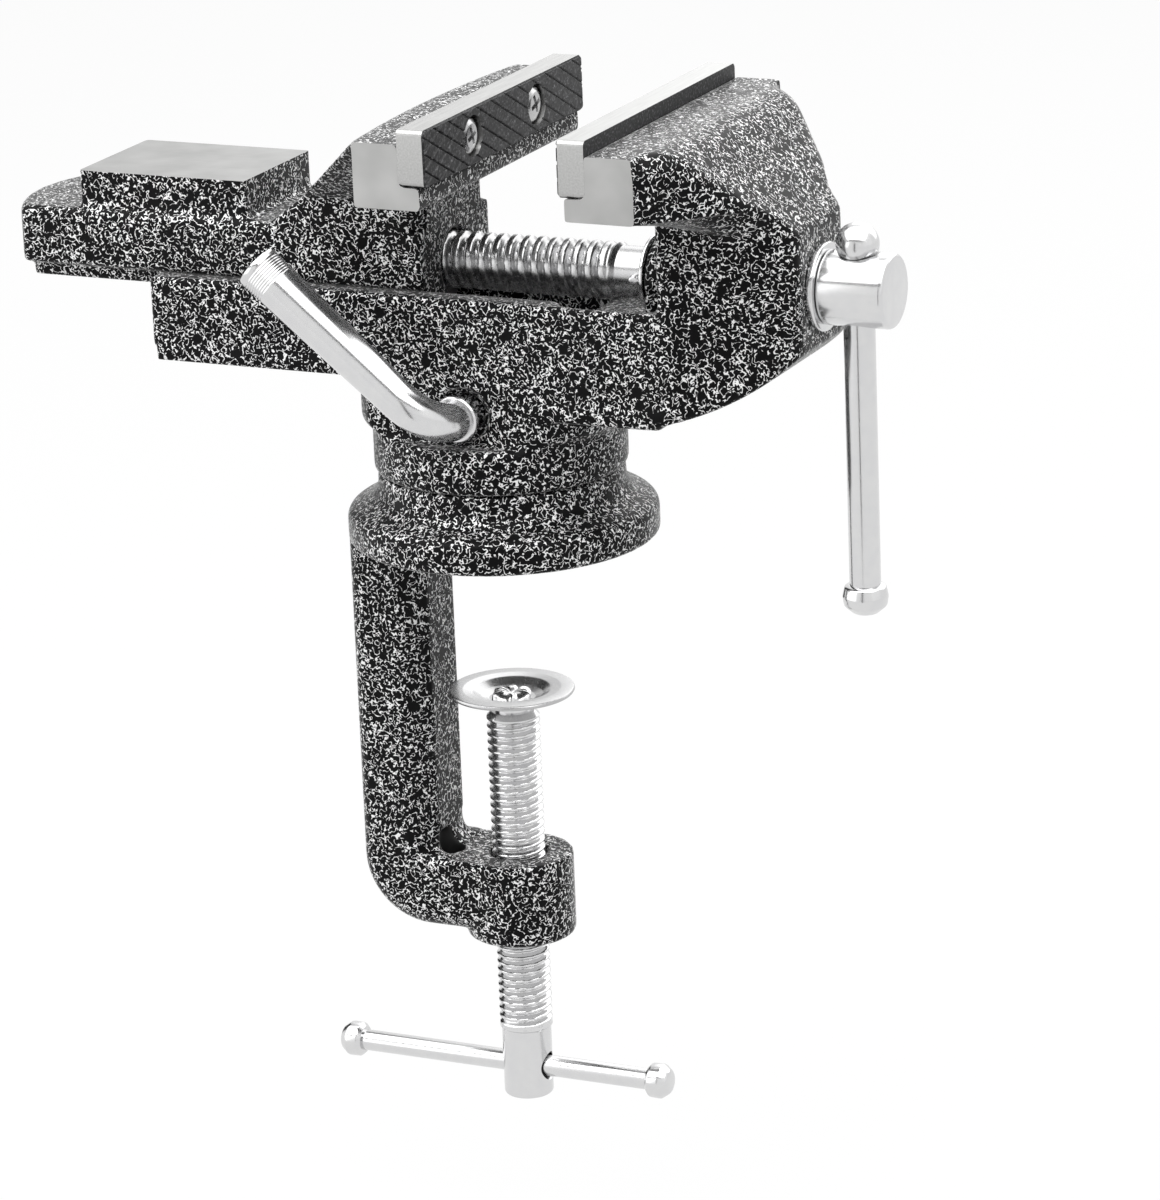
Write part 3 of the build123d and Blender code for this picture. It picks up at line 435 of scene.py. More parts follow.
def thread_tree():
    """Cuts a right-hand thread into the rows of a turned blank that stand at the full radius."""
    tree = bpy.data.node_groups.new("screw thread", "GeometryNodeTree")
    group_sockets(tree, {"Radius": FLOAT, "Depth": FLOAT, "Pitch": FLOAT, "Crest": FLOAT,
                         "Root": FLOAT, "Start": FLOAT, "End": FLOAT,
                         "Material": "NodeSocketMaterial"})
    given = add(tree, "NodeGroupInput").outputs
    place = add(tree, "ShaderNodeSeparateXYZ",
                Vector=add(tree, "GeometryNodeInputPosition").outputs[0]).outputs
    turn = add(tree, "ShaderNodeMath", {"operation": "ARCTAN2"}, n0=place[1],
               n1=place[0]).outputs[0]
    turn = add(tree, "ShaderNodeMath", {"operation": "DIVIDE"}, n0=turn,
               n1=2 * math.pi).outputs[0]
    run = add(tree, "ShaderNodeMath", {"operation": "DIVIDE"}, n0=place[2],
              n1=given["Pitch"]).outputs[0]
    phase = add(tree, "ShaderNodeMath", {"operation": "SUBTRACT"}, n0=run, n1=turn).outputs[0]
    phase = add(tree, "ShaderNodeMath", {"operation": "FLOORED_MODULO"}, n0=phase,
                n1=1.0).outputs[0]
    away = add(tree, "ShaderNodeMath", {"operation": "SUBTRACT"}, n0=phase, n1=0.5).outputs[0]
    away = add(tree, "ShaderNodeMath", {"operation": "ABSOLUTE"}, n0=away).outputs[0]
    away = add(tree, "ShaderNodeMath", {"operation": "MULTIPLY"}, n0=away, n1=2.0).outputs[0]
    groove = add(tree, "ShaderNodeMapRange", {"interpolation_type": "SMOOTHSTEP"}, Value=away,
                 n1=given["Crest"], n2=given["Root"]).outputs[0]
    late = add(tree, "ShaderNodeMath", {"operation": "ADD"}, n0=given["Start"],
               n1=given["Pitch"]).outputs[0]
    early = add(tree, "ShaderNodeMath", {"operation": "SUBTRACT"}, n0=given["End"],
                n1=given["Pitch"]).outputs[0]
    lead_in = add(tree, "ShaderNodeMapRange", Value=place[2], n1=given["Start"],
                  n2=late).outputs[0]
    run_out = add(tree, "ShaderNodeMapRange", Value=place[2], n1=early, n2=given["End"],
                  n3=1.0, n4=0.0).outputs[0]
    deep = add(tree, "ShaderNodeMath", {"operation": "MULTIPLY"}, n0=groove,
               n1=lead_in).outputs[0]
    deep = add(tree, "ShaderNodeMath", {"operation": "MULTIPLY"}, n0=deep,
               n1=run_out).outputs[0]
    deep = add(tree, "ShaderNodeMath", {"operation": "MULTIPLY"}, n0=deep,
               n1=given["Depth"]).outputs[0]
    share = add(tree, "ShaderNodeMath", {"operation": "DIVIDE"}, n0=deep,
                n1=given["Radius"]).outputs[0]
    shrink = add(tree, "ShaderNodeMath", {"operation": "SUBTRACT"}, n0=1.0, n1=share).outputs[0]
    flat = add(tree, "ShaderNodeCombineXYZ", X=place[0], Y=place[1]).outputs[0]
    size = add(tree, "ShaderNodeVectorMath", {"operation": "LENGTH"}, n0=flat).outputs["Value"]
    skin = add(tree, "ShaderNodeMath", {"operation": "SUBTRACT"}, n0=given["Radius"],
               n1=0.01 * MM).outputs[0]
    outer = add(tree, "FunctionNodeCompare", {"data_type": "FLOAT", "operation":
                "GREATER_THAN"}, n0=size, n1=skin).outputs[0]
    moved = add(tree, "ShaderNodeVectorMath", {"operation": "SCALE"}, n0=flat,
                Scale=shrink).outputs[0]
    height = add(tree, "ShaderNodeCombineXYZ", Z=place[2]).outputs[0]
    moved = add(tree, "ShaderNodeVectorMath", {"operation": "ADD"}, n0=moved,
                n1=height).outputs[0]
    shape = add(tree, "GeometryNodeSetPosition", Geometry=given["Mesh"], Selection=outer,
                Position=moved).outputs[0]
    shape = add(tree, "GeometryNodeRealizeInstances", Geometry=shape).outputs[0]
    shape = add(tree, "GeometryNodeSetMaterial", Geometry=shape,
                Material=given["Material"]).outputs[0]
    add(tree, "NodeGroupOutput", n0=shape)
    return tree


def diamond_tree():
    """Presses two families of slanting grooves into the gripping face of a jaw plate."""
    tree = bpy.data.node_groups.new("diamond face", "GeometryNodeTree")
    group_sockets(tree, {"Face": FLOAT, "Out": FLOAT, "Shift": FLOAT, "Level": FLOAT,
                         "Slope": FLOAT, "Pitch": FLOAT, "Width": FLOAT, "Depth": FLOAT})
    given = add(tree, "NodeGroupInput").outputs
    place = add(tree, "ShaderNodeSeparateXYZ",
                Vector=add(tree, "GeometryNodeInputPosition").outputs[0]).outputs
    level = add(tree, "ShaderNodeMath", {"operation": "SUBTRACT"}, n0=place[2],
                n1=given["Level"]).outputs[0]
    run = add(tree, "ShaderNodeMath", {"operation": "ADD"}, n0=place[1],
              n1=given["Shift"]).outputs[0]
    run = add(tree, "ShaderNodeMath", {"operation": "MULTIPLY"}, n0=run,
              n1=given["Slope"]).outputs[0]
    grooves = []
    for way in ("ADD", "SUBTRACT"):
        slant = add(tree, "ShaderNodeMath", {"operation": way}, n0=run,
                    n1=level).outputs[0]
        slant = add(tree, "ShaderNodeMath", {"operation": "DIVIDE"}, n0=slant,
                    n1=given["Pitch"]).outputs[0]
        slant = add(tree, "ShaderNodeMath", {"operation": "FLOORED_MODULO"}, n0=slant,
                    n1=1.0).outputs[0]
        slant = add(tree, "ShaderNodeMath", {"operation": "SUBTRACT"}, n0=slant,
                    n1=0.5).outputs[0]
        slant = add(tree, "ShaderNodeMath", {"operation": "ABSOLUTE"}, n0=slant).outputs[0]
        slant = add(tree, "ShaderNodeMath", {"operation": "MULTIPLY"}, n0=slant,
                    n1=given["Pitch"]).outputs[0]
        grooves.append(add(tree, "ShaderNodeMapRange", {"interpolation_type": "SMOOTHSTEP"},
                           Value=slant, n1=0.0, n2=given["Width"], n3=1.0,
                           n4=0.0).outputs[0])
    groove = add(tree, "ShaderNodeMath", {"operation": "MAXIMUM"}, n0=grooves[0],
                 n1=grooves[1]).outputs[0]
    off = add(tree, "ShaderNodeMath", {"operation": "SUBTRACT"}, n0=place[0],
              n1=given["Face"]).outputs[0]
    off = add(tree, "ShaderNodeMath", {"operation": "ABSOLUTE"}, n0=off).outputs[0]
    skin = add(tree, "ShaderNodeMapRange", Value=off, n1=0.05 * MM, n2=0.5 * MM, n3=1.0,
               n4=0.0).outputs[0]
    deep = add(tree, "ShaderNodeMath", {"operation": "MULTIPLY"}, n0=groove,
               n1=skin).outputs[0]
    deep = add(tree, "ShaderNodeMath", {"operation": "MULTIPLY"}, n0=deep,
               n1=given["Depth"]).outputs[0]
    deep = add(tree, "ShaderNodeMath", {"operation": "MULTIPLY"}, n0=deep,
               n1=given["Out"]).outputs[0]
    deep = add(tree, "ShaderNodeMath", {"operation": "MULTIPLY"}, n0=deep, n1=-1.0).outputs[0]
    inwards = add(tree, "ShaderNodeCombineXYZ", X=deep).outputs[0]
    shape = add(tree, "GeometryNodeSetPosition", Geometry=given["Mesh"],
                Offset=inwards).outputs[0]
    shape = add(tree, "GeometryNodeRealizeInstances", Geometry=shape).outputs[0]
    add(tree, "NodeGroupOutput", n0=shape)
    return tree


def row_tree():
    """Sets copies of a screw along a line."""
    tree = bpy.data.node_groups.new("row of screws", "GeometryNodeTree")
    group_sockets(tree, {"Count": "NodeSocketInt", "First": "NodeSocketVector",
                         "Step": "NodeSocketVector", "Material": "NodeSocketMaterial"})
    given = add(tree, "NodeGroupInput").outputs
    line = add(tree, "GeometryNodeMeshLine", Count=given["Count"],
               Start_Location=given["First"], Offset=given["Step"]).outputs[0]
    shape = add(tree, "GeometryNodeInstanceOnPoints", Points=line,
                Instance=given["Mesh"]).outputs[0]
    shape = add(tree, "GeometryNodeRealizeInstances", Geometry=shape).outputs[0]
    shape = add(tree, "GeometryNodeSetMaterial", Geometry=shape,
                Material=given["Material"]).outputs[0]
    add(tree, "NodeGroupOutput", n0=shape)
    return tree


# ---------------------------------------------------------------- build

# pieces that keep the CAD's own shape
PLAIN = {"lead_nut": MACHINED, "slide_keeper": MACHINED, "keeper_screws": BOLT,
         "swivel_bolt": BOLT, "swivel_washer": BOLT, "lock_pad": BRASS}
for node, material in PLAIN.items():
    nodes[node].data.materials.clear()
    nodes[node].data.materials.append(material)


def inside(point, low, high):
    return all(a - 1e-6 <= p <= b + 1e-6 for a, p, b in zip(low, point, high))


def open_bore(work, point, axis, within, radius):
    """Moves a bore's wall, all that lies within a distance of its axis, out to a radius."""
    for vert in work.verts:
        off = vert.co / MM - Vector(point)
        off -= Vector(axis) * off.dot(Vector(axis))
        if 0.5 < off.length < within:
            vert.co += off.normalized() * (radius - off.length) * MM


def pull_out(work, point, normal, low, high):
    """Draws a machined face outwards, so that rounding it leaves enough to cut back flat."""
    cap = [f for f in work.faces
           if inside(f.calc_center_median() / MM, low, high)
           and all(abs((v.co / MM - Vector(point)).dot(Vector(normal))) < 0.02
                   for v in f.verts)]
    out = bmesh.ops.extrude_face_region(work, geom=cap)
    bmesh.ops.delete(work, geom=cap, context="FACES_ONLY")
    bmesh.ops.translate(work, vec=Vector(normal) * MACHINING * MM,
                        verts=[v for v in out["geom"] if isinstance(v, bmesh.types.BMVert)])


def with_corners(faces):
    """Faces with their vertices and edges, each once and in an order that never changes."""
    return list(dict.fromkeys(v for f in faces for v in f.verts)) \
        + list(dict.fromkeys(e for f in faces for e in f.edges)) + faces


def cut_flat(work, point, normal, low, high):
    """Cuts the skin off flat at a machined face, which takes the second material."""
    region = [f for f in work.faces if all(inside(v.co / MM, low, high) for v in f.verts)]
    made = bmesh.ops.bisect_plane(work, geom=with_corners(region), dist=1e-8,
                                  plane_co=Vector(point) * MM, plane_no=Vector(normal),
                                  clear_outer=True)
    rim = [e for e in made["geom_cut"] if isinstance(e, bmesh.types.BMEdge)]
    for face in bmesh.ops.edgeloop_fill(work, edges=rim)["faces"]:
        face.material_index = 1
        if face.normal.dot(Vector(normal)) < 0:
            face.normal_flip()


def soften(work, verts, passes):
    """Smooths vertices so many times."""
    for _ in range(passes):
        bmesh.ops.smooth_vert(work, verts=verts, factor=0.5, use_axis_x=True,
                              use_axis_y=True, use_axis_z=True)


def skinned(node, voxel, passes, machined=(), bores=(), melted=()):
    """A casting's skin: the CAD node's own shape with its edges rounded as sand and thick paint
    leave them, then cut flat at its machined faces. machined is (point, normal, low corner,
    high corner) and bores are (point, axis, within, radius), in millimetres; a bore is opened a
    little so that the softer skin stays clear of its shaft. melted is (low corner, high corner,
    passes) where the casting runs together more."""
    work = merged_copy(node)
    for bore in bores:
        open_bore(work, *bore)
    for face in machined:
        pull_out(work, *face)
    carrier = bench(as_mesh(work, "skin"))
    step = carrier.modifiers.new("skin", "REMESH")
    step.mode, step.voxel_size = "VOXEL", voxel * MM
    mesh = off_bench(carrier)
    work = bmesh.new()
    work.from_mesh(mesh)
    soften(work, work.verts, passes)
    for low, high, more in melted:
        soften(work, [v for v in work.verts if inside(v.co / MM, low, high)], more)
    for face in machined:
        cut_flat(work, *face)
    work.to_mesh(mesh)
    work.free()
    return smooth_by_angle(mesh, 40)


FAR = 300               # past everything
MACHINING = 2.4         # stock on a machined face before it is cut
END_INNER = JAW_HALF - 4.0
END_BOTTOM = 78
ENDS = [((0, way * JAW_HALF, 0), (0, way, 0),
         (-FAR, END_INNER if way > 0 else -FAR, END_BOTTOM),
         (FAR, FAR if way > 0 else -END_INNER, FAR)) for way in (1, -1)]
ANVIL = ((0, 0, ANVIL_TOP), (0, 0, 1), (-96.5, -FAR, ANVIL_TOP - 1.5),
         (-49.0, FAR, ANVIL_TOP + 3.1))
UPRIGHT = ((0, 0, 0), (0, 0, 1))
LEAD_BORE = ((0, 0, LEAD_Z), (1, 0, 0), 6.6, 6.9)
BOLT_BORE = (*UPRIGHT, 4.3, 4.6)
POST_SOCKET = (*UPRIGHT, 16.2, 16.6)
CLAMP_BORE = (*UPRIGHT, 6.2, 6.5)

finish_piece(skinned("vise_body", 0.7, 4, ENDS, [LEAD_BORE, BOLT_BORE, POST_SOCKET]),
             "vise body", "vise", ["vise_body"], [ENAMEL, MACHINED])
finish_piece(skinned("moving_jaw", 0.65, 4, ENDS + [ANVIL]),
             "moving jaw", "moving_jaw", ["moving_jaw"], [ENAMEL, MACHINED])

# the foot of the arm, each side of its web, where the casting runs together
FOOT_SIDES = [((-18.5, way * 8.8 - 3.4, FOOT_TOP - 1.0), (-11.5, way * 8.8 + 3.4, FOOT_TOP + 6.5),
               60) for way in (1, -1)]
WEB_STEP_X, WEB_STEP_HALF, WEB_STEP_DEPTH = -20.5, 0.9, 0.7
ARM_SIDE = 9.8          # the arm's flat side lies beyond this
ARM_UNDER_FLANGE = -5
CORED_HOLE, CORED_REACH = Vector((-15.25, -3.2, 0)), 3.2


def step_web(mesh):
    """Presses in the line along the arm where its web is let into its flat side."""
    for vert in mesh.vertices:
        across = vert.co.x / MM - WEB_STEP_X
        if abs(across) < WEB_STEP_HALF and abs(vert.co.y) > ARM_SIDE * MM \
                and FOOT_TOP + 3 < vert.co.z / MM < ARM_UNDER_FLANGE:
            press = WEB_STEP_DEPTH * (1 - abs(across) / WEB_STEP_HALF)
            vert.co.y -= math.copysign(press * MM, vert.co.y)


def paint_hole_shade(mesh):
    """Gives the walls and floor of the cored hole at the arm's foot the second material, which
    paints them near black as shade.
    """
    for face in mesh.polygons:
        off = face.center / MM - CORED_HOLE
        if math.hypot(off.x, off.y) < CORED_REACH and FOOT_TOP - 6 < off.z < FOOT_TOP + 4.4 \
                and face.normal.x * off.x + face.normal.y * off.y < 0.25 * abs(off.x + off.y):
            face.material_index = 1


frame_skin = skinned("clamp_frame", 0.6, 3, bores=[CLAMP_BORE], melted=FOOT_SIDES)
step_web(frame_skin)
# the frame's second material paints the cored hole's walls and floor near black as shade
paint_hole_shade(frame_skin)
finish_piece(frame_skin, "clamp frame", "clamp_frame", ["clamp_frame"],
             [ENAMEL, HOLE_SHADE])

# diamond grooves: two slanting families, each groove a shallow V
GROOVE_PITCH, GROOVE_HALF, GROOVE_DEPTH = 3.56, 0.36, 0.35
GROOVE_SLOPE = 0.51     # rise of a groove over its run along Y
GROOVE_SHIFT, GROOVE_LEVEL = 1.43, 94.25    # a diamond's middle is at Y -1.43 and Z 94.25
GROOVES_EACH_WAY = 9


def creased(mesh, face, out):
    """The plate with creases along both edges and the bottom of every groove."""
    work = bmesh.new()
    work.from_mesh(mesh)
    for way in (1, -1):
        for count in range(-GROOVES_EACH_WAY, GROOVES_EACH_WAY):
            for edge in (-GROOVE_HALF, 0.0, GROOVE_HALF):
                grip = [f for f in work.faces if f.normal.x * out > 0.99
                        and abs(f.calc_center_median().x / MM - face) < 0.02]
                at = ((count + 0.5) * GROOVE_PITCH + edge) / GROOVE_SLOPE - GROOVE_SHIFT
                bmesh.ops.bisect_plane(work, geom=with_corners(grip), dist=1e-8,
                                       plane_co=(0, at * MM, GROOVE_LEVEL * MM),
                                       plane_no=(0, GROOVE_SLOPE, way))
    work.to_mesh(mesh)
    work.free()
    return mesh


def dressed_plate(node, face, out):
    """A jaw plate with its diamond face. The gripping side stays black; ends and top are
    ground bright."""
    carrier = bench(as_mesh(merged_copy(node), "plate"))
    step = carrier.modifiers.new("ground edge", "BEVEL")
    step.width, step.segments, step.angle_limit = 0.3 * MM, 2, math.radians(50)
    mesh = creased(off_bench(carrier), face, out)
    mesh = grown(mesh, DIAMOND, {
        "Face": face * MM, "Out": float(out), "Shift": GROOVE_SHIFT * MM,
        "Level": GROOVE_LEVEL * MM, "Slope": GROOVE_SLOPE, "Pitch": GROOVE_PITCH * MM,
        "Width": GROOVE_HALF * MM, "Depth": GROOVE_DEPTH * MM})
    for side in mesh.polygons:
        ground = side.normal.z > 0.6 or abs(side.normal.y) > 0.6
        side.material_index = 1 if ground and abs(side.normal.x) < 0.3 else 0
    return smooth_by_angle(mesh, 20)


DIAMOND = diamond_tree()
THREAD = thread_tree()
ROW = row_tree()
finish_piece(dressed_plate("rear_jaw_plate", REAR_FACE, 1), "rear jaw plate", "moving_jaw",
             ["rear_jaw_plate"], [JAW_STEEL, GROUND])
finish_piece(dressed_plate("front_jaw_plate", FRONT_FACE, -1), "front jaw plate", "vise",
             ["front_jaw_plate"], [JAW_STEEL, GROUND])


def cross_head(out):
    """A domed plate screw with a tapered cross recess, its head's seat at the origin and its
    axis along X, facing out."""
    screw = turned(eased((-12.4, 0, 0), (-12.4, 2.5, 0.4), (0, 2.5, 0), (0, 3.9, 0.1),
                         (1.9, 3.9, 0.4), (2.6, 2.6, 1.2), (2.8, 0, 0)),
                   Matrix.Identity(4), 48)
    mouth, floor = (4.8, 1.1, 3.2), (2.6, 0.7, 0.9)    # a blade's length, width and height
    blades = []
    for turn in (math.radians(20), math.radians(110)):
        work = bmesh.new()
        bmesh.ops.create_cube(work, size=1.0)
        for vert in work.verts:
            length, width, height = mouth if vert.co.z > 0 else floor
            vert.co = Vector((vert.co.x * length, vert.co.y * width, height)) * MM
        work.transform(Matrix.Rotation(turn, 4, "Z"))
        blades.append(as_mesh(work, "blade"))
    screw = cut_out(screw, *blades)
    screw.transform(Matrix.Rotation(out * math.pi / 2, 4, "Y"))
    return screw


HEAD_RECESS = 3.0       # from a plate's gripping face to the seat of its screws
for node, body, seat, out in (("rear_plate_screws", "moving_jaw", REAR_FACE - HEAD_RECESS, 1),
                              ("front_plate_screws", "vise", FRONT_FACE + HEAD_RECESS, -1)):
    screws = grown(cross_head(out), ROW, {
        "Count": 2, "First": (seat * MM, -PLATE_SCREW_SPAN / 2 * MM, PLATE_SCREW_Z * MM),
        "Step": (0, PLATE_SCREW_SPAN * MM, 0), "Material": TURNED})
    finish_piece(smooth_by_angle(screws, 40), node.replace("_", " "), body,
                 [node])

# lead screw: round-crested thread, neck with its pin, and the head bored for the handle
LEAD = along((0, 0, LEAD_Z), (1, 0, 0))
LEAD_R, LEAD_PITCH, NECK_R, JOURNAL_R = 6.35, 3.175, 5.7, 6.3
(LEAD_TIP, _, _), (LEAD_END, _, _) = corners("lead_screw")
(WASHER_X, _, _), (WASHER_END, _, _) = corners("retaining_washer")
(THRUST_X, _, _), (THRUST_END, _, _) = corners("thrust_washer")
THREAD_END = 30.4
HEAD_X = round(THRUST_END + 0.1, 3)


def lead_shaft():
    """The threaded end, the pinned neck and the plain journal that runs into the head."""
    blank = turned(eased(
        (LEAD_TIP, 0, 0), (LEAD_TIP, 4.9, 0.3), (LEAD_TIP + 1.4, LEAD_R, 0),
        (THREAD_END, LEAD_R, 0), (THREAD_END + 0.8, NECK_R, 0.4), (WASHER_X, NECK_R, 0),
        (WASHER_X, JOURNAL_R, 0), (HEAD_X + 0.8, JOURNAL_R, 0), (HEAD_X + 0.8, 0, 0)),
        Matrix.Identity(4), 72, 4)
    return grown(blank, THREAD, {
        "Radius": LEAD_R * MM, "Depth": 1.3 * MM, "Pitch": LEAD_PITCH * MM, "Crest": 0.3,
        "Root": 1.0, "Start": (LEAD_TIP + 0.5) * MM, "End": (THREAD_END + 0.2) * MM,
        "Material": TURNED})


def lead_head():
    """The round head, cross-bored for the handle, with both mouths of the bore flared."""
    blank = turned(eased((HEAD_X, 0, 0), (HEAD_X, 8.1, 0.5), (LEAD_END, 8.1, 1.1),
                         (LEAD_END, 0, 0)), Matrix.Identity(4), 96)
    bore = turned([(-9.7, 0), (-9.7, 6.7), (-6.5, 3.5), (6.5, 3.5), (9.7, 6.7), (9.7, 0)],
                  along(*UPRIGHT), 64)
    bore.transform(Matrix.Translation((0, 0, HANDLE_X * MM))
                   @ Matrix.Rotation(math.pi / 2, 4, "X"))
    return cut_out(blank, bore)


lead = joined(lead_shaft(), lead_head())
lead.transform(Matrix.Translation((0, 0, LEAD_Z * MM)) @ Matrix.Rotation(math.pi / 2, 4, "Y")
               @ Matrix.Rotation(math.pi / 2, 4, "Z"))
for face in lead.polygons:
    face.material_index = 1 if face.center.x > THRUST_END * MM else 0
finish_piece(smooth_by_angle(lead, 38), "lead screw", "lead_screw",
             ["lead_screw"], [TURNED, ZINC])
finish_piece(smooth_by_angle(turned(eased(
    (THRUST_X, 6.45, 0), (THRUST_X, 9.6, 0.3), (THRUST_END, 9.6, 0.5), (THRUST_END, 6.45, 0)),
    LEAD, 96, ring=True)),
    "thrust washer", "vise", ["thrust_washer"], [ZINC])
finish_piece(smooth_by_angle(turned(eased(
    (WASHER_X, 6.4, 0), (WASHER_X, 8.6, 0.4), (WASHER_END, 8.6, 0.4), (WASHER_END, 6.4, 0)),
    LEAD, 96, ring=True)),
    "retaining washer", "lead_screw", ["retaining_washer"], [ZINC])
PIN_R, PIN_HALF = 1.3, 7.6
finish_piece(smooth_by_angle(turned(eased(
    (-PIN_HALF, 0, 0), (-PIN_HALF, PIN_R, 1.2), (PIN_HALF, PIN_R, 1.2), (PIN_HALF, 0, 0)),
    along((middle("retaining_pin")[0], 0, LEAD_Z), (0, 1, 0)), 40)),
    "retaining pin", "lead_screw", ["retaining_pin"], [ZINC])

# handle: plain bar, pressed-on ball and knob
HANDLE = along((HANDLE_X, 0, 0), (0, 0, 1))
BAR_R, BAR_LOW, BAR_HIGH = 3.4, -8.2, 70.6
BALL_Z, BALL_R, BALL_ROWS = 71.04, 4.7, 40
finish_piece(smooth_by_angle(turned(eased(
    (BAR_LOW, 0, 0), (BAR_LOW, BAR_R, 0.4), (BAR_HIGH, BAR_R, 0.4), (BAR_HIGH, 0, 0)),
    HANDLE, 64)), "handle bar", "handle", ["handle_bar"], [ZINC])
finish_piece(smooth_by_angle(turned(
    [(BALL_Z - BALL_R * math.cos(math.pi * i / BALL_ROWS),
      BALL_R * math.sin(math.pi * i / BALL_ROWS) if 0 < i < BALL_ROWS else 0)
     for i in range(BALL_ROWS + 1)], HANDLE, 80)),
    "handle ball", "handle", ["handle_ball"], [ZINC])
finish_piece(smooth_by_angle(turned(eased((-10.4, 0, 0), (-10.4, 2.6, 1.6),
                                          (-8.6, 4.7, 1.6), (-6.6, 5.0, 1.6),
                                          (-4.3, 4.5, 0.7), (-3.9, 3.3, 0), (-4.4, 0, 0)),
                                    HANDLE, 64)),
             "handle knob", "handle", ["handle_knob"], [ZINC])

# clamp screw, its dished pad and the sliding bar
CLAMP_R, CLAMP_PITCH, CLAMP_HEAD_R, SPIGOT_R = 6.0, 1.875, 5.6, 4.0
CLAMP_BOTTOM = corners("clamp_screw")[0][2]
CLAMP_THREAD_LOW, CLAMP_THREAD_HIGH = -116.7, -42.5
SHOULDER_Z, SPIGOT_Z = -41.4, -37.7


def clamp_shaft():
    """The cross-bored head, the thread, and the spigot that carries the pad."""
    blank = turned(eased(
        (CLAMP_BOTTOM, 0, 0), (CLAMP_BOTTOM, CLAMP_HEAD_R, 0.9),
        (CLAMP_THREAD_LOW - 0.4, CLAMP_HEAD_R, 0.3), (CLAMP_THREAD_LOW, CLAMP_R, 0),
        (CLAMP_THREAD_HIGH, CLAMP_R, 0), (SHOULDER_Z, 4.9, 0.2), (SHOULDER_Z, SPIGOT_R, 0),
        (SPIGOT_Z, SPIGOT_R, 0), (SPIGOT_Z, 0, 0)), Matrix.Identity(4), 64, 6)
    bore = turned([(-8, 0), (-8, 4.4), (-5.0, 3.05), (5.0, 3.05), (8, 4.4), (8, 0)],
                  along((0, 0, TBAR[2]), (1, 0, 0)), 48)
    return grown(cut_out(blank, bore), THREAD, {
        "Radius": CLAMP_R * MM, "Depth": 1.05 * MM, "Pitch": CLAMP_PITCH * MM, "Crest": 0.12,
        "Root": 0.92, "Start": (CLAMP_THREAD_LOW + 0.3) * MM,
        "End": (CLAMP_THREAD_HIGH + 0.3) * MM, "Material": ZINC})


def peened_end():
    """The spigot's swaged end: a low dome split into petals."""
    dome = turned([(-38.8, 0), (-38.8, 4.0), (-38.4, 4.5), (-37.7, 4.3), (-37.2, 3.6),
                   (-36.9, 2.6), (-37.1, 1.6), (-37.4, 0.8), (-37.5, 0)],
                  Matrix.Identity(4), 72)
    for vert in dome.vertices:
        turn = math.atan2(vert.co.y, vert.co.x)
        radius = math.hypot(vert.co.x, vert.co.y) / MM
        if radius > 0.5:
            # six petals, made uneven by a weaker wave of eleven
            lobe = math.cos(6 * turn + 0.7) + 0.4 * math.cos(11 * turn)
            swell = 1 + 0.08 * lobe
            vert.co.x *= swell
            vert.co.y *= swell
            if vert.co.z > -38.1 * MM:
                vert.co.z += 0.3 * lobe * min(1, radius / 3) * MM
    return dome


finish_piece(smooth_by_angle(joined(clamp_shaft(), peened_end()), 38), "clamp screw", "clamp_screw",
             ["clamp_screw"], [ZINC])
finish_piece(smooth_by_angle(turned(eased(
    (-38.5, 4.1, 0), (-38.5, 5.2, 0.6), (-37.8, 6.9, 1.5), (-36.6, 8.9, 2.0),
    (-36.3, 11.0, 1.5), (-36.3, 13.85, 0.25), (-36.8, 14.1, 0.3), (-37.3, 13.8, 0.2),
    (-37.4, 11.0, 1.5), (-37.8, 9.4, 1.5), (-38.6, 7.8, 1.2), (-39.1, 6.0, 0.5),
    (-39.1, 4.1, 0)), Matrix.Identity(4), 112, ring=True), 40),
    "clamp pad", "clamp_pad", ["clamp_pad"], [TURNED])
TBAR_LINE = along((TBAR[0], 0, TBAR[2]), (1, 0, 0))
TBAR_R, TBAR_HALF = 2.4, 39.6
finish_piece(smooth_by_angle(turned(eased(
    (-TBAR_HALF, 0, 0), (-TBAR_HALF, TBAR_R, 0.3), (TBAR_HALF, TBAR_R, 0.3), (TBAR_HALF, 0, 0)),
    TBAR_LINE, 48)), "clamp bar", "clamp_tbar", ["clamp_tbar"], [ZINC])
knobs = [turned(eased((way * 35.8, 0, 0), (way * 35.8, 3.1, 0.3), (way * 36.6, 3.9, 0.6),
                      (way * 39.2, 4.0, 1.2), (way * 41.1, 2.6, 1.4), (way * 41.3, 0, 0)),
                TBAR_LINE, 56) for way in (1, -1)]
finish_piece(smooth_by_angle(joined(*knobs)), "clamp bar knobs", "clamp_tbar",
             ["tbar_knobs"], [ZINC])


# lock lever: a stem with its collar, a short leg, a bend and a long leg
LEVER_RISE = math.radians(40)
LEG_R, TIP_R, LEG_LENGTH = 4.3, 5.15, 53.0
BEND_R, BEND_STEPS, BEND_START = 10.4, 24, 25.6      # the bend starts this far from the hub's axis
KNURL_START, KNURL_END, KNURL_PITCH, KNURL_DEPTH = 46.6, 51.4, 0.6, 0.16
LEVER_SIDES = 64


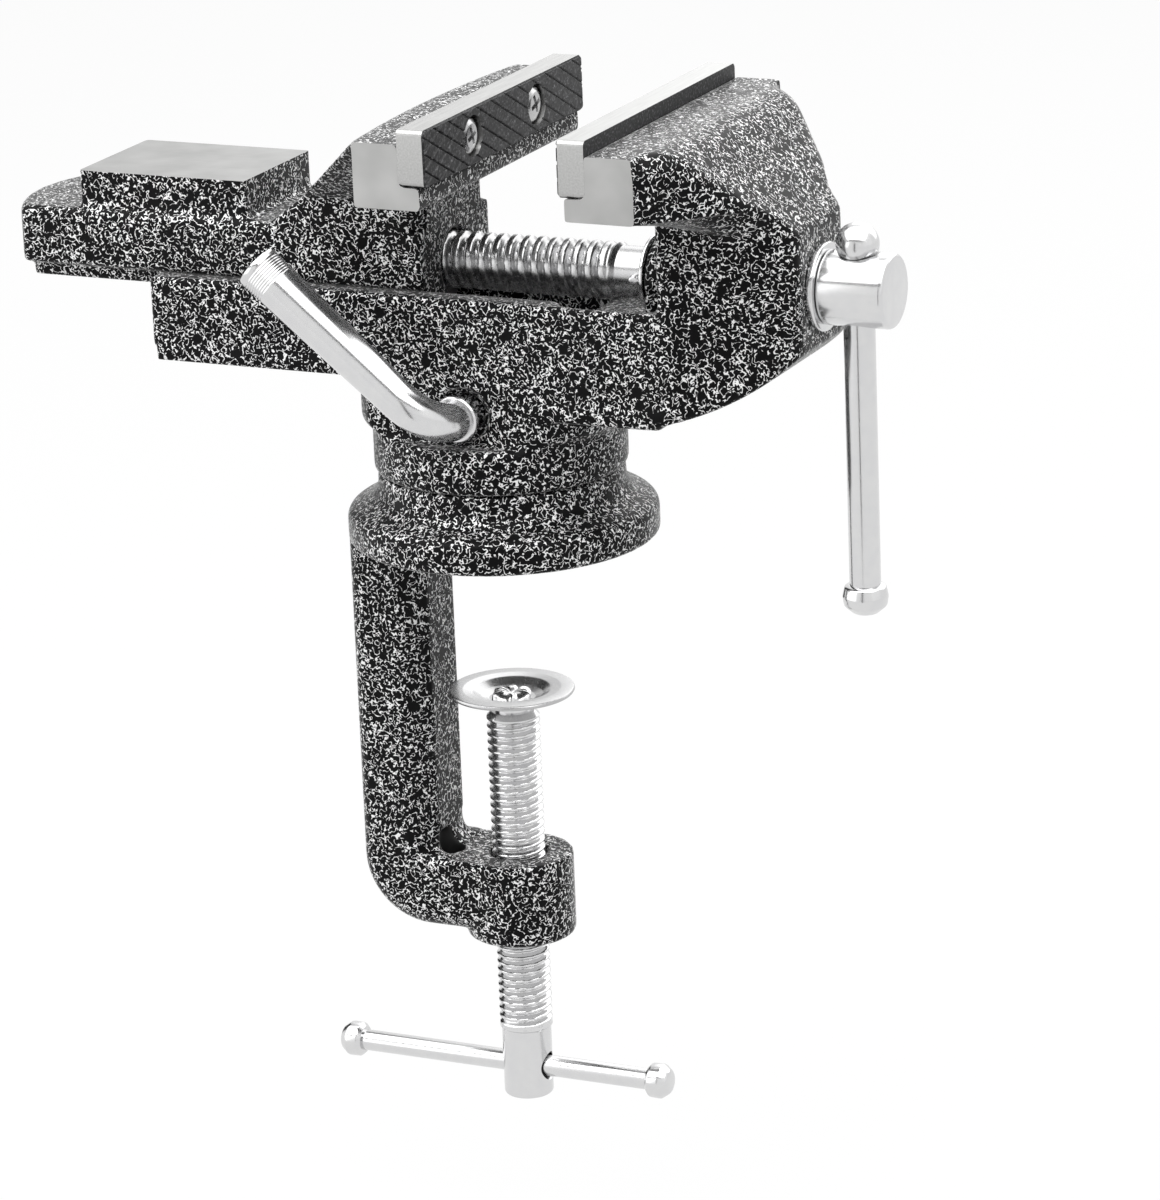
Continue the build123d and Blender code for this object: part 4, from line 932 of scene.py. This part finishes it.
def lever_stations():
    """(centre, direction, radius) along the lever, whose long leg widens towards its ringed tip."""
    leg = Vector((-math.cos(LEVER_RISE), 0, math.sin(LEVER_RISE)))
    out = Vector((0, -1, 0))
    root = Vector((LOCK[0], 0, LOCK[2]))
    stations = [(root + out * d, out, LEG_R) for d in (24.0, BEND_START)]
    for i in range(1, BEND_STEPS + 1):
        t = math.pi / 2 * i / BEND_STEPS
        centre = root + out * (BEND_START + BEND_R * math.sin(t)) \
            + leg * (BEND_R - BEND_R * math.cos(t))
        stations.append((centre, out * math.cos(t) + leg * math.sin(t), LEG_R))
    far = root + out * (BEND_START + BEND_R)
    # a station each millimetre, and ten of them where the rings are
    spans = [BEND_R + i for i in range(1, 36)] + [46.2 + 0.1 * i for i in range(58)]
    for d in spans:
        r = LEG_R + (TIP_R - LEG_R) * (d - BEND_R) / (LEG_LENGTH - BEND_R)
        if KNURL_START < d < KNURL_END:
            wave = math.cos(2 * math.pi * (d - KNURL_START) / KNURL_PITCH)
            r -= KNURL_DEPTH * (0.5 - 0.5 * wave)
        stations.append((far + leg * d, leg, r))
    tip = ((52.2, 0.0), (52.75, 0.18), (LEG_LENGTH, 0.7))
    return stations + [(far + leg * d, leg, TIP_R - less) for d, less in tip]


def lever_mesh():
    """The lever's rod, drawn through its stations, with its stem and collar."""
    work = bmesh.new()
    stations = lever_stations()
    side = stations[0][1].cross(stations[-1][1])
    rows = []
    for centre, ahead, radius in stations:
        across = ahead.cross(side).normalized()
        rows.append([work.verts.new((centre + (side * math.cos(a) + across * math.sin(a))
                                     * radius) * MM)
                     for a in (2 * math.pi * k / LEVER_SIDES for k in range(LEVER_SIDES))])
    for low, high in zip(rows, rows[1:]):
        for k in range(LEVER_SIDES):
            j = (k + 1) % LEVER_SIDES
            work.faces.new((low[k], low[j], high[j], high[k]))
    work.faces.new(rows[0])
    work.faces.new(rows[-1])
    bmesh.ops.recalc_face_normals(work, faces=work.faces)
    stem = turned(eased((17.4, 0, 0), (17.4, 4.0, 0.3), (23.8, 4.0, 0), (23.8, 4.9, 0.3),
                        (24.3, 5.2, 0.2), (25.4, 5.2, 0.25), (25.8, 4.85, 0.15), (25.8, 0, 0)),
                  along((LOCK[0], 0, LOCK[2]), (0, -1, 0)), 72)
    return joined(as_mesh(work, "lever"), stem)


finish_piece(smooth_by_angle(lever_mesh(), 35), "lock lever", "lock_lever",
             ["lock_lever"], [ZINC])

# ---------------------------------------------------------------- studio

SCREW_DROP = -next(joint["range_m"][0] for joint in frame["joints"]
                   if joint["name"] == "clamp_travel")
FLOOR_HALF, FLOOR_GAP = 12.0, 0.0006


def seen_directly(tree):
    """1 where the camera looks, or looks by way of a reflection or through glass, else 0."""
    ray = add(tree, "ShaderNodeLightPath")
    seen = add(tree, "ShaderNodeMath", {"operation": "MAXIMUM"},
               n0=ray.outputs["Is Camera Ray"], n1=ray.outputs["Is Glossy Ray"]).outputs[0]
    return add(tree, "ShaderNodeMath", {"operation": "MAXIMUM"},
               n0=seen, n1=ray.outputs["Is Transmission Ray"]).outputs[0]


def studio_floor():
    """White paper, which lies below the clamp screw's lowest reach. It looks lit from behind,
    so that it meets the background without a line, and it gives the vise only plain light."""
    mesh = bpy.data.meshes.new("studio floor")
    half, z = FLOOR_HALF, cad_box[0][2] - SCREW_DROP - FLOOR_GAP
    mesh.from_pydata([(-half, -half, z), (half, -half, z), (half, half, z), (-half, half, z)],
                     [], [(0, 1, 2, 3)])
    floor = bpy.data.objects.new("studio_floor", mesh)
    bpy.context.scene.collection.objects.link(floor)
    material, tree = new_material("white paper sweep")
    share = add(tree, "ShaderNodeMath", {"operation": "MULTIPLY"}, n0=seen_directly(tree),
                n1=0.9).outputs[0]
    paper = add(tree, "ShaderNodeBsdfDiffuse", Color=linear("#c4c4c4"))
    glow = add(tree, "ShaderNodeEmission", Color=(1, 1, 1, 1), Strength=1.04)
    mixed = add(tree, "ShaderNodeMixShader", n0=share, n1=paper.outputs[0], n2=glow.outputs[0])
    close_material(tree, mixed)
    mesh.materials.append(material)


def studio_world():
    """White to look at, and a dim even fill on the vise."""
    world = bpy.data.worlds.new("studio")
    bpy.context.scene.world = world
    world.use_nodes = True
    tree = world.node_tree
    tree.nodes.clear()
    strength = add(tree, "ShaderNodeMapRange", Value=seen_directly(tree), n3=0.19,
                   n4=1.0).outputs[0]
    back = add(tree, "ShaderNodeBackground", Color=(1, 1, 1, 1), Strength=strength)
    add(tree, "ShaderNodeOutputWorld", Surface=back.outputs[0])


def soft_lamp(name, at, look, size, watts):
    """A softbox at a place in metres, turned to look at another."""
    data = bpy.data.lights.new(name, "AREA")
    data.shape, data.size, data.size_y, data.energy = "RECTANGLE", size[0], size[1], watts
    lamp = bpy.data.objects.new(name, data)
    bpy.context.scene.collection.objects.link(lamp)
    lamp.location = at
    lamp.rotation_euler = (Vector(look) - Vector(at)).to_track_quat("-Z", "Y").to_euler()


def black_card(name, at, look, size):
    """A black card that only reflections see: it draws the dark edges on the bright steel."""
    mesh = bpy.data.meshes.new(name)
    x, y = size[0] / 2, size[1] / 2
    mesh.from_pydata([(-x, -y, 0), (x, -y, 0), (x, y, 0), (-x, y, 0)], [], [(0, 1, 2, 3)])
    card = bpy.data.objects.new(name, mesh)
    bpy.context.scene.collection.objects.link(card)
    material, tree = new_material("black card")
    close_material(tree, add(tree, "ShaderNodeBsdfDiffuse", Color=linear("#101010")))
    mesh.materials.append(material)
    card.location = at
    card.rotation_euler = (Vector(look) - Vector(at)).to_track_quat("Z", "Y").to_euler()
    card.visible_camera = card.visible_diffuse = card.visible_shadow = False
    card.visible_transmission = False


def photo_camera():
    """The photograph's own view, as solved on it."""
    data = bpy.data.cameras.new("camera")
    camera = bpy.data.objects.new("camera", data)
    bpy.context.scene.collection.objects.link(camera)
    right, up, forward = ((0.9084, 0.4165, -0.0381), (-0.0927, 0.2894, 0.9527),
                          (-0.4078, 0.8619, -0.3015))
    turn = Matrix([[right[i], up[i], -forward[i]] for i in range(3)]).to_4x4()
    camera.matrix_world = Matrix.Translation((0.5031, -1.0298, 0.3457)) @ turn
    data.sensor_width = 36.0
    data.lens = 162.66
    data.shift_x, data.shift_y = 0.006, 0.0006
    data.clip_start, data.clip_end = 0.05, 50.0
    bpy.context.scene.camera = camera


studio_floor()
studio_world()
soft_lamp("top softbox", (0.1, -0.3, 1.0), (0, 0, 0), (2.2, 1.8), 25)
soft_lamp("left softbox", (-0.9, -0.6, 0.5), (0, 0, 0), (1.6, 1.5), 7.2)
soft_lamp("right softbox", (1.0, -0.2, 0.5), (0, 0, 0), (1.0, 1.0), 0.3)
soft_lamp("back softbox", (0.2, 1.0, 0.66), (0, 0, 0.05), (1.6, 1.0), 6)
black_card("back card", (-0.51, 0.32, 0.25), (0, 0, 0.25), (0.25, 0.9))
black_card("strip card", (0.1, -0.66, 0.46), (0, 0, 0), (1.8, 0.13))
black_card("tall card", (0.12, -0.36, 0.03), (0.1, 0, 0.03), (0.045, 0.32))
photo_camera()
bpy.context.scene.view_settings.view_transform = "Standard"
